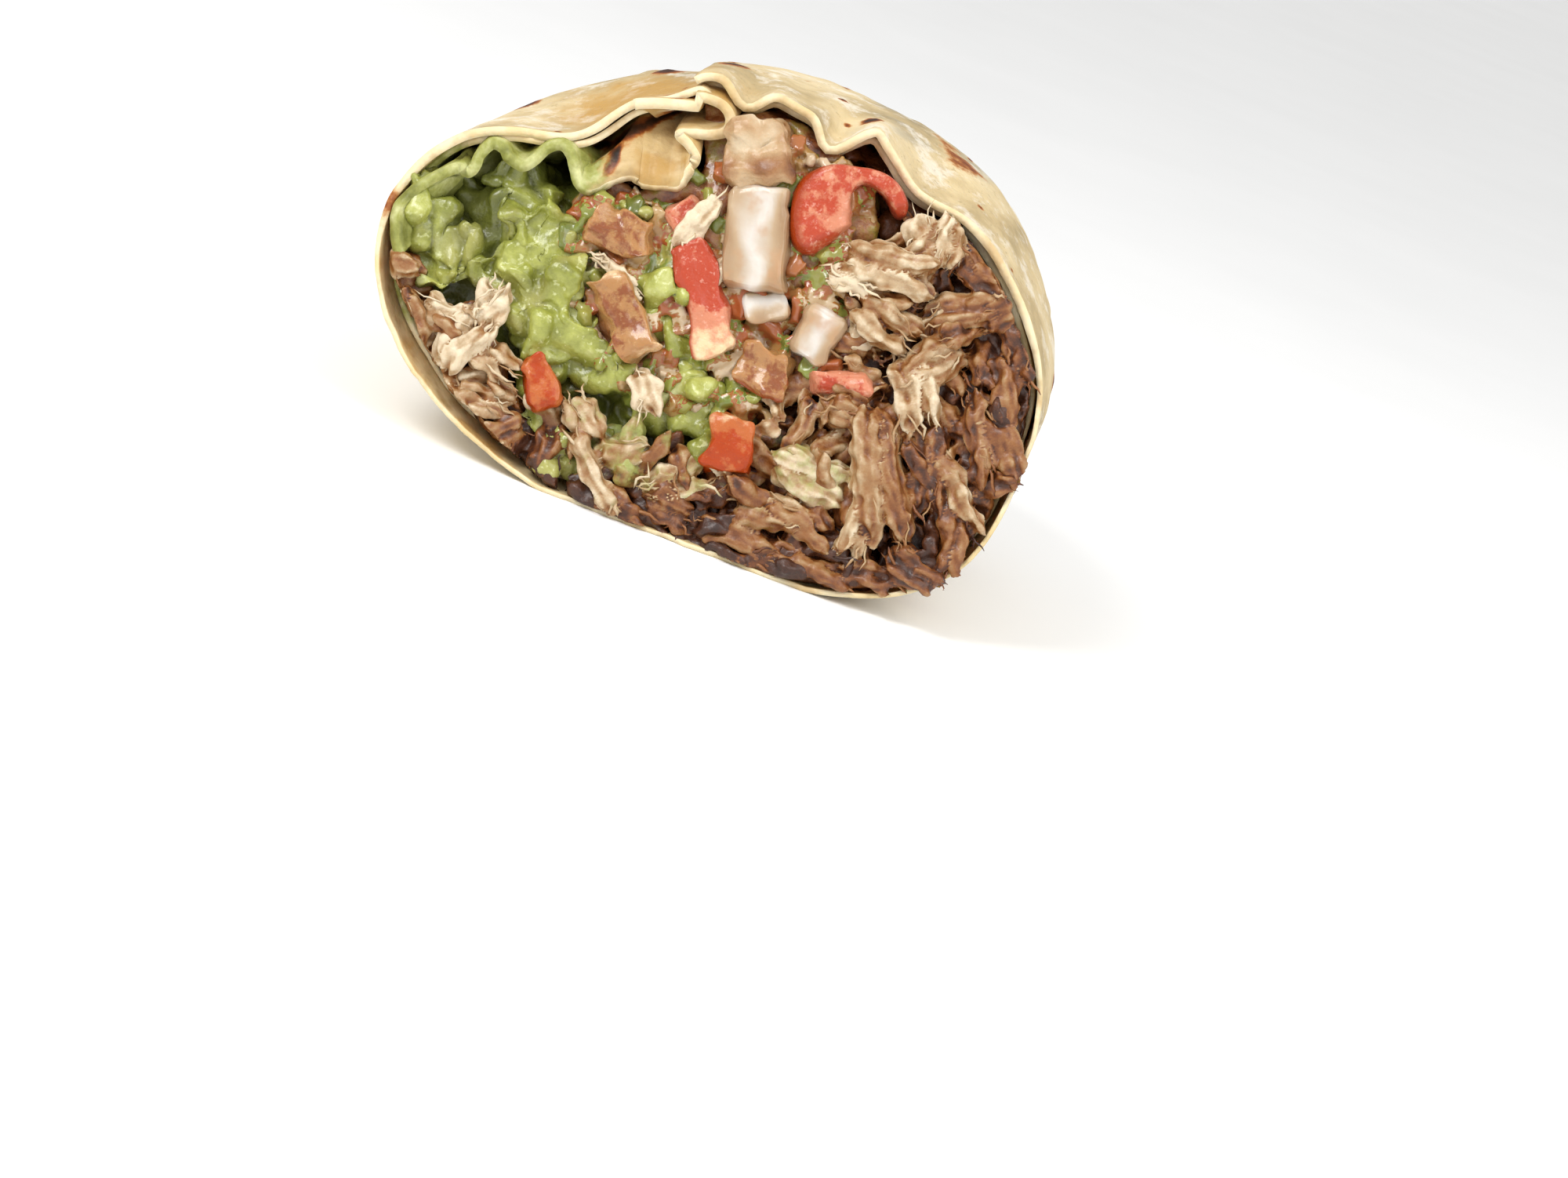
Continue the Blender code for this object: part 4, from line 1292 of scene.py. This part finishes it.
def make_hero_meat(template, material):
    """The larger torn pieces that can be told apart at the cut; gives back their frays."""
    rng = random.Random(77)
    shades = random.Random(78)
    places, loose = [], []
    for right, up, proud, long, wide, turn, pitch, roll, tint, green, bow in HERO_MEAT:
        axes = tilted(turn, pitch, roll)
        middle = on_face(right, up, proud - 1.0)
        long, wide = long * MM, wide * MM
        tint += 0.03 + 0.24 * (meat_tone(right, up) - MEAT_TONE)
        tint = min(0.70, tint + shades.uniform(-0.08, 0.08))
        strands = 2 if wide > 3.7 * MM else 1
        for index in range(strands):
            side = (index + 0.5) / strands - 0.5
            leaned = tilted(turn + side * 18, pitch, roll + side * 50)
            places.append(
                flake(
                    middle + axes[1] * side * wide * 0.9 - axes[2] * index * 0.5 * MM, leaned,
                    long * rng.uniform(0.85, 1.0), wide / strands * 1.25, wide * 0.5 + 0.8 * MM,
                    tint + rng.uniform(-0.05, 0.05), green, rng.uniform(0, 99), bow * MM,
                    rng.uniform(-0.3, 0.3), 0.6,
                )
            )
        loose += frays(rng, middle, axes, long, wide, tint - 0.08, green, 7)
    melted(
        "meat_torn_pieces", template, places, TORN_PIECES_VOXEL, (material,), "meat",
        ("meat_slab", "meat_strip"),
    )
    return loose


def chunk_axes(name):
    (right, up), size, turn, proud = CHUNKS[name]
    axes = filling_axes(math.radians(turn))
    middle = on_face(right, up, proud - size[2] / 2)
    return middle, axes, [side / 2 * MM for side in size]


def make_chunk(name, piece, material, slot, seed, fields, round_off, relief, skew=0.26, cuts=8):
    """One diced piece: a box with skewed corners and worn edges, roughened.

    Fields are worked out from its soft coordinates, which run from -1 to 1 along each side.
    """
    middle, axes, halves = chunk_axes(name)
    rng = random.Random(seed)
    bm = bmesh.new()
    bmesh.ops.create_cube(bm, size=2)
    for vert in bm.verts:
        jitter = Vector([rng.uniform(-skew * 1.2, skew * 0.6) for _ in range(3)])
        sides = zip(halves, vert.co, jitter)
        vert.co = Vector([half / MM * part * (1 + extra) for half, part, extra in sides])
    bmesh.ops.bevel(
        bm, geom=bm.edges[:], offset=round_off, segments=3, profile=0.5, affect="EDGES", material=-1
    )
    bmesh.ops.subdivide_edges(bm, edges=bm.edges[:], cuts=cuts, use_grid_fill=True)
    even_out(bm, bm.verts, 0.5)
    values = {field: [] for field in fields}
    shift = Vector((seed, seed * 2.1, -seed))
    for vert in bm.verts:
        soft = Vector([part * MM / half for half, part in zip(halves, vert.co)])
        for field, work_out in fields.items():
            values[field].append(work_out(soft))
        broad = drift(vert.co / 3.6 + shift) * relief * 1.6
        small = drift(vert.co / 1.3 + shift) * relief * 0.45
        local = vert.co + broad + small
        vert.co = middle + sum((axis * part * MM for axis, part in zip(axes, local)), Vector())
    made = finish_piece(piece, bm, (material,), slot, (name,))
    paint(made.data, **values)
    return made


def cube_shade_and_browning(soft):
    """How dark the cube of meat is: painted shade in a band below its middle, browned at one end and in
    blotches.
    """
    band = 0.20 + 0.45 * bump(soft.y, -0.5, 0.3)
    return band + 0.35 * smooth_step(0.5, 0.95, soft.x) + 0.35 * noise.noise(soft * 1.8)


def even_pulp(soft):
    """Paler towards the edges of a piece's cut face."""
    return 0.16 * smooth_step(0.6, 0.95, max(abs(soft.x), abs(soft.y)))


PULP = {
    "tomato_long": lambda soft: -0.15 + 0.75 * smooth_step(0.1, 0.95, soft.x),
    "tomato_dice": lambda soft: -0.10 + 0.45 * smooth_step(0.25, 0.75, soft.x),
    "tomato_bit": lambda soft: 0.10 * smooth_step(0.2, 0.8, soft.y),
    "tomato_pale": lambda soft: 0.02 + 0.40 * smooth_step(0.55, 0.95, max(abs(soft.x), abs(soft.y))),
}


# ================================================================ settings
def length_setting(name, description, size_mm):
    """A length that the panel shows."""
    return bpy.props.FloatProperty(
        name=name, description=description, default=size_mm * MM, unit="LENGTH"
    )


class BurritoSizes(bpy.types.PropertyGroup):
    sheet: length_setting("Sheet", "Thickness of one layer of tortilla", 1.25)
    layer_gap: length_setting("Layer gap", "Space between the tortilla's two turns", 0.12)
    fold_sheet: length_setting("Fold sheet", "Thickness of the ruffled fold", 1.4)
    fold_depth: length_setting("Fold depth", "How far the fold runs back", 26)
    spots: bpy.props.IntProperty(
        name="Spots", description="Random griddle spots tried on the skin", default=46
    )
    shreds: bpy.props.IntProperty(name="Shreds", description="Torn pieces of meat in each layer", default=170)
    bits: bpy.props.IntProperty(name="Bits", description="Minced bits in the salsa", default=470)
    seed: bpy.props.IntProperty(name="Seed", description="Chooses the scatter of spots and bits", default=4)


def colour_setting(name, description, colour):
    """A colour that the panel shows."""
    return bpy.props.FloatVectorProperty(
        name=name, description=description, subtype="COLOR", size=4, default=linear(colour)
    )


class BurritoColours(bpy.types.PropertyGroup):
    crumb: colour_setting("Crumb", "Inner face of the tortilla", "#D8C090")
    fold: colour_setting("Fold", "Face of the ruffled fold", "#BFA473")
    edge: colour_setting("Edge", "Cut edge of the tortilla", "#E4D3AE")
    ripe: colour_setting("Ripe", "Flesh of the ripe tomato", "#AE4126")
    stewed: colour_setting("Stewed", "Flesh of the softened tomato", "#874A24")


# ================================================================ operators
class BURRITO_OT_stage(bpy.types.Operator):
    """Lay the pale floor, set soft lights and aim the camera square at the cut"""

    bl_idname = "burrito.stage"
    bl_label = "Stage"

    def execute(self, context):
        bm = bmesh.new()
        bmesh.ops.create_grid(bm, x_segments=1, y_segments=1, size=6)
        mesh = bpy.data.meshes.new("floor")
        bm.to_mesh(mesh)
        bm.free()
        mesh.materials.append(floor_material())
        floor = bpy.data.objects.new("floor", mesh)
        context.scene.collection.objects.link(floor)

        world = bpy.data.worlds.new("studio")
        world.use_nodes = True
        world.node_tree.nodes["Background"].inputs["Color"].default_value = (1, 1, 1, 1)
        world.node_tree.nodes["Background"].inputs["Strength"].default_value = 0.78
        context.scene.world = world

        # Name, offset from the face on the filling's axes in mm, width in mm, watts.
        lamps = (("key", (-180, 420, 400), 220, 2.4), ("fill", (420, 160, 360), 400, 1.5))
        for name, offset, width, power in lamps:
            lamp = bpy.data.lights.new(name, "AREA")
            lamp.energy = power
            lamp.size = width * MM
            placed = bpy.data.objects.new(name, lamp)
            placed.location = on_face(*offset)
            placed.rotation_euler = (placed.location - on_face(0, 0)).to_track_quat("Z", "Y").to_euler()
            context.scene.collection.objects.link(placed)

        camera = bpy.data.cameras.new("camera")
        camera.lens = 100
        camera.sensor_width = 36
        camera.clip_start = 0.01
        view_width = 200
        distance = view_width * camera.lens / camera.sensor_width
        placed = bpy.data.objects.new("camera", camera)
        turned = Matrix(AXES).transposed().to_4x4()
        placed.matrix_world = Matrix.Translation(on_face(8, -33.1, distance)) @ turned
        context.scene.collection.objects.link(placed)
        context.scene.camera = placed
        context.scene.view_settings.view_transform = "Standard"
        return {"FINISHED"}


class BURRITO_OT_tortilla(bpy.types.Operator):
    """Wrap the tortilla round the half, with its inner turn and ruffled fold"""

    bl_idname = "burrito.tortilla"
    bl_label = "Tortilla"

    def execute(self, context):
        sizes = context.scene.burrito_sizes
        skin = skin_material()
        colours = context.scene.burrito_colours
        inner = crumb_material("steamed_tortilla_inside", colours.crumb, "#BF9145", "#B6965E")
        browned = crumb_material("browned_tortilla_fold", colours.fold, "#B0863E", "#A08356")
        edge = crumb_material("cut_tortilla_edge", colours.edge, "#D6BB82", "#C9AE80")
        make_wrap(sizes, skin, inner, edge)
        make_inner_turn(sizes, inner, edge)
        make_fold(sizes, browned, edge)
        return {"FINISHED"}


class BURRITO_OT_guacamole(bpy.types.Operator):
    """Fill in the guacamole and its smears"""

    bl_idname = "burrito.guacamole"
    bl_label = "Guacamole"

    def execute(self, context):
        make_guacamole(guacamole_material())
        return {"FINISHED"}


class BURRITO_OT_salsa(bpy.types.Operator):
    """Fill in the salsa and its minced bits"""

    bl_idname = "burrito.salsa"
    bl_label = "Salsa"

    def execute(self, context):
        sizes = context.scene.burrito_sizes
        make_core("salsa_pulp", "pico_de_gallo", salsa_material(), "salsa", PULP_VOXEL, 1.2, 0.9)
        rng = random.Random(sizes.seed + 10)
        bm = bmesh.new()
        bmesh.ops.create_cube(bm, size=2)
        bmesh.ops.subdivide_edges(bm, edges=bm.edges[:], cuts=2, use_grid_fill=True)
        template = bpy.data.meshes.new("bit")
        bm.to_mesh(template)
        bm.free()
        places = []
        while len(places) < sizes.bits:
            right, up = rng.uniform(-20, 20), rng.uniform(-12, 24)
            most = 0.9 - 0.08 * smooth_step(17, 20, up)
            if inside_oval(right, up, SALSA_REGION) > 1 or rim_share(right, up) > most:
                continue
            if up > 16.6 and right < -3.6 or up > 20.5 and right < 1.5:
                continue
            middle = on_face(right, up, rng.uniform(-3.6, -0.4))
            axes = tilted(rng.uniform(0, 180), rng.uniform(-30, 30), rng.uniform(-40, 40))
            halves = [rng.uniform(0.5, 2.2) * MM, rng.uniform(0.5, 1.4) * MM, rng.uniform(0.5, 1.2) * MM]
            tint = rng.random()
            if rng.random() < 0.45 * smooth_step(2, -6, right):
                tint *= 0.22
            places.append((self.bit(middle, axes, halves, tint, rng.uniform(0, 99)), axes[0]))
        melted(
            "salsa_bits", template, places, BITS_VOXEL, (bits_material(),), "salsa",
            grain=0.1, painted_crevice_shade=0.0, mottled=0.0,
        )
        return {"FINISHED"}

    def bit(self, middle, axes, halves, tint, seed):
        def place(co):
            soft = co / (abs(co.x) ** 9 + abs(co.y) ** 9 + abs(co.z) ** 9) ** (1 / 9)
            soft *= 1 + 0.45 * noise.noise(soft * 1.1 + Vector((seed, 0, 0)))
            return middle + sum((a * h * p for a, h, p in zip(axes, halves, soft)), Vector()), tint, 0.0

        return place


class BURRITO_OT_meat(bpy.types.Operator):
    """Fill in the shredded meat: a dark core, two layers of shreds and the large torn pieces"""

    bl_idname = "burrito.meat"
    bl_label = "Shredded meat"

    def execute(self, context):
        sizes = context.scene.burrito_sizes
        shred = meat_material(
            "pulled_pork_shreds",
            ((0.0, "#D8C6A8"), (0.18, "#B89E7A"), (0.36, "#9C764C"), (0.52, "#8A582A"), (0.66, "#723E14"),
             (0.82, "#4C250C"), (1.0, "#2C1307")),
            0.44, 0.22,
        )
        # The core's one dark tint is painted shade for the gaps between the shreds.
        make_core(
            "meat_core", "shredded_meat", shred, "shredded_meat", MEAT_CORE_VOXEL, 3.4, 1.2,
            {"tint": lambda point: 0.72, "green": lambda point: 0.0},
        )
        lobe = lobe_template(20, 16)
        # Name, seed, proud, spacing, sizes and shade of each layer, and the voxel it is melted at.
        layers = (
            ("meat_shreds_deep", 21, (-4.6, -2.6), 2.8, (5, 10), 0.16, DEEP_SHREDS_VOXEL),
            ("meat_shreds_front", 22, (-2.4, 0.2), 2.9, (3.5, 8.5), 0.02, FRONT_SHREDS_VOXEL),
        )
        loose = []
        for name, seed, proud, spacing, sizes_mm, shade, voxel in layers:
            loose += scatter_meat(
                name, seed, sizes.shreds, proud, spacing, sizes_mm, shade, voxel, lobe, shred
            )
        loose += make_hero_meat(lobe_template(32, 24), shred)
        scattered("meat_loose_fibres", shred_template(5, 5), loose, (shred,), "shredded_meat")
        return {"FINISHED"}


class BURRITO_OT_cubes(bpy.types.Operator):
    """Place the cube of meat, the onion and the tomato pieces"""

    bl_idname = "burrito.cubes"
    bl_label = "Diced pieces"

    def execute(self, context):
        pale = meat_material(
            "seared_pork_cube",
            ((0.0, "#C9B494"), (0.3, "#B3926A"), (0.55, "#94663C"), (0.8, "#744522"), (1.0, "#4C2510")),
            0.4, 0.25,
        )
        make_chunk(
            "meat_cube", "meat_cube_seared", pale, "meat", 3,
            {"tint": cube_shade_and_browning, "green": lambda soft: 0.0},
            round_off=1.9, relief=0.9, cuts=10,
        )
        onion = onion_material()
        for name, seed in (("onion_wedge", 5), ("onion_dice", 8), ("onion_end", 2)):
            shift = Vector((seed, 0, 0))
            # The layer field is pale along the piece's middle: milky layers and a painted highlight.
            make_chunk(
                name, name + "_cut", onion, "onion", seed,
                {"layer": lambda soft: bump(soft.y + 0.6 * noise.noise(soft * 1.3 + shift), 0.1, 0.62)},
                round_off=1.0, skew=0.14, relief=0.45,
            )
        colours = context.scene.burrito_colours
        red = tomato_material("ripe_tomato", colours.ripe, "#C67F60", "#983408")
        # The fibres colours give pale specks: pulp grain and painted highlight sparkle.
        orange = tomato_material("tomato_skin_side", "#A63A02", "#B4602E", "#9A3402", fibres="#C87A48")
        pale_red = tomato_material(
            "stewed_tomato", colours.stewed, "#A97A49", "#8A3C14", 0.35, 0.5, "#C8A272"
        )
        kinds = {
            "tomato_long": (red, 4), "tomato_pale": (pale_red, 9), "tomato_chunk": (pale_red, 6),
            "tomato_bit": (orange, 7), "tomato_dice": (orange, 1), "tomato_seeded": (pale_red, 3),
            "tomato_slice": (red, 12), "tomato_corner": (red, 5),
        }
        for name, (material, seed) in kinds.items():
            make_chunk(
                name, name + "_cut", material, "tomato", seed,
                {"skin": lambda soft: smooth_step(-0.75, -0.95, soft.y), "pulp": PULP.get(name, even_pulp)},
                round_off=0.9, skew=0.2, relief=0.9 if material is pale_red else 0.6,
            )
        self.wedge(red)
        return {"FINISHED"}

    def wedge(self, material):
        def place(across, share):
            angle = across * 2 * math.pi
            end = min(1.0, min(share, 1 - share) / 0.10)
            close = math.sqrt(max(0.0, 1 - (1 - end) ** 2))
            bend = WEDGE_FROM + (WEDGE_TO - WEDGE_FROM) * share
            narrowed = smooth_step(0.30, 0.62, share)
            half = WEDGE_HALF_WIDTHS[0] + (WEDGE_HALF_WIDTHS[1] - WEDGE_HALF_WIDTHS[0]) * narrowed
            power = 6.0
            cos, sin = math.cos(angle), math.sin(angle)
            length = (abs(cos) ** power + abs(sin) ** power) ** (1 / power)
            side = half * cos / length * close
            deep = WEDGE_HALF_DEPTH * sin / length * close
            right = WEDGE_CENTRE[0] + (WEDGE_RADII[0] + side) * math.cos(bend)
            up = WEDGE_CENTRE[1] + (WEDGE_RADII[1] + side) * math.sin(bend)
            point = on_face(right, up, WEDGE_PROUD - WEDGE_HALF_DEPTH + deep)
            relief = 0.45 * wobble(point, 4.5, 41) + 0.15 * wobble(point, 1.5, 42)
            return point + (AXES[0] * cos + AXES[2] * sin) * relief * MM * close

        bm = grid_sheet(64, 90, place)
        weld(bm)

        def skin(point):
            right, up, _ = from_face(point)
            across = (right - WEDGE_CENTRE[0]) / WEDGE_RADII[0]
            out = math.hypot(across, (up - WEDGE_CENTRE[1]) / WEDGE_RADII[1])
            return smooth_step(1.42, 1.58, out)

        def pulp(point):
            right, up, _ = from_face(point)
            return 0.25 * bump(math.hypot(right - WEDGE_CENTRE[0], up - WEDGE_CENTRE[1]), 2.2, 1.2) - 0.05

        fields = {"skin": skin, "pulp": pulp}
        finish_piece("tomato_wedge_cut", bm, (material,), "tomato", ("tomato_wedge",), fields)


class BURRITO_PT_panel(bpy.types.Panel):
    """Lists the steps that build the half"""

    bl_idname = "BURRITO_PT_panel"
    bl_label = "Burrito Half"
    bl_space_type = "VIEW_3D"
    bl_region_type = "UI"
    bl_category = "Burrito"

    def draw(self, context):
        for operator in OPERATORS:
            self.layout.operator(operator.bl_idname)
        for name in BurritoSizes.__annotations__:
            self.layout.prop(context.scene.burrito_sizes, name)
        for name in BurritoColours.__annotations__:
            self.layout.prop(context.scene.burrito_colours, name)


OPERATORS = (
    BURRITO_OT_stage,
    BURRITO_OT_tortilla,
    BURRITO_OT_guacamole,
    BURRITO_OT_salsa,
    BURRITO_OT_meat,
    BURRITO_OT_cubes,
)
CLASSES = (BurritoSizes, BurritoColours, *OPERATORS, BURRITO_PT_panel)


def register():
    for made in CLASSES:
        bpy.utils.register_class(made)
    bpy.types.Scene.burrito_sizes = bpy.props.PointerProperty(type=BurritoSizes)
    bpy.types.Scene.burrito_colours = bpy.props.PointerProperty(type=BurritoColours)


def unregister():
    del bpy.types.Scene.burrito_colours
    del bpy.types.Scene.burrito_sizes
    for made in reversed(CLASSES):
        bpy.utils.unregister_class(made)


def main():
    register()
    for operator in OPERATORS:
        group, name = operator.bl_idname.split(".")
        getattr(getattr(bpy.ops, group), name)()


if __name__ == "__main__":
    main()
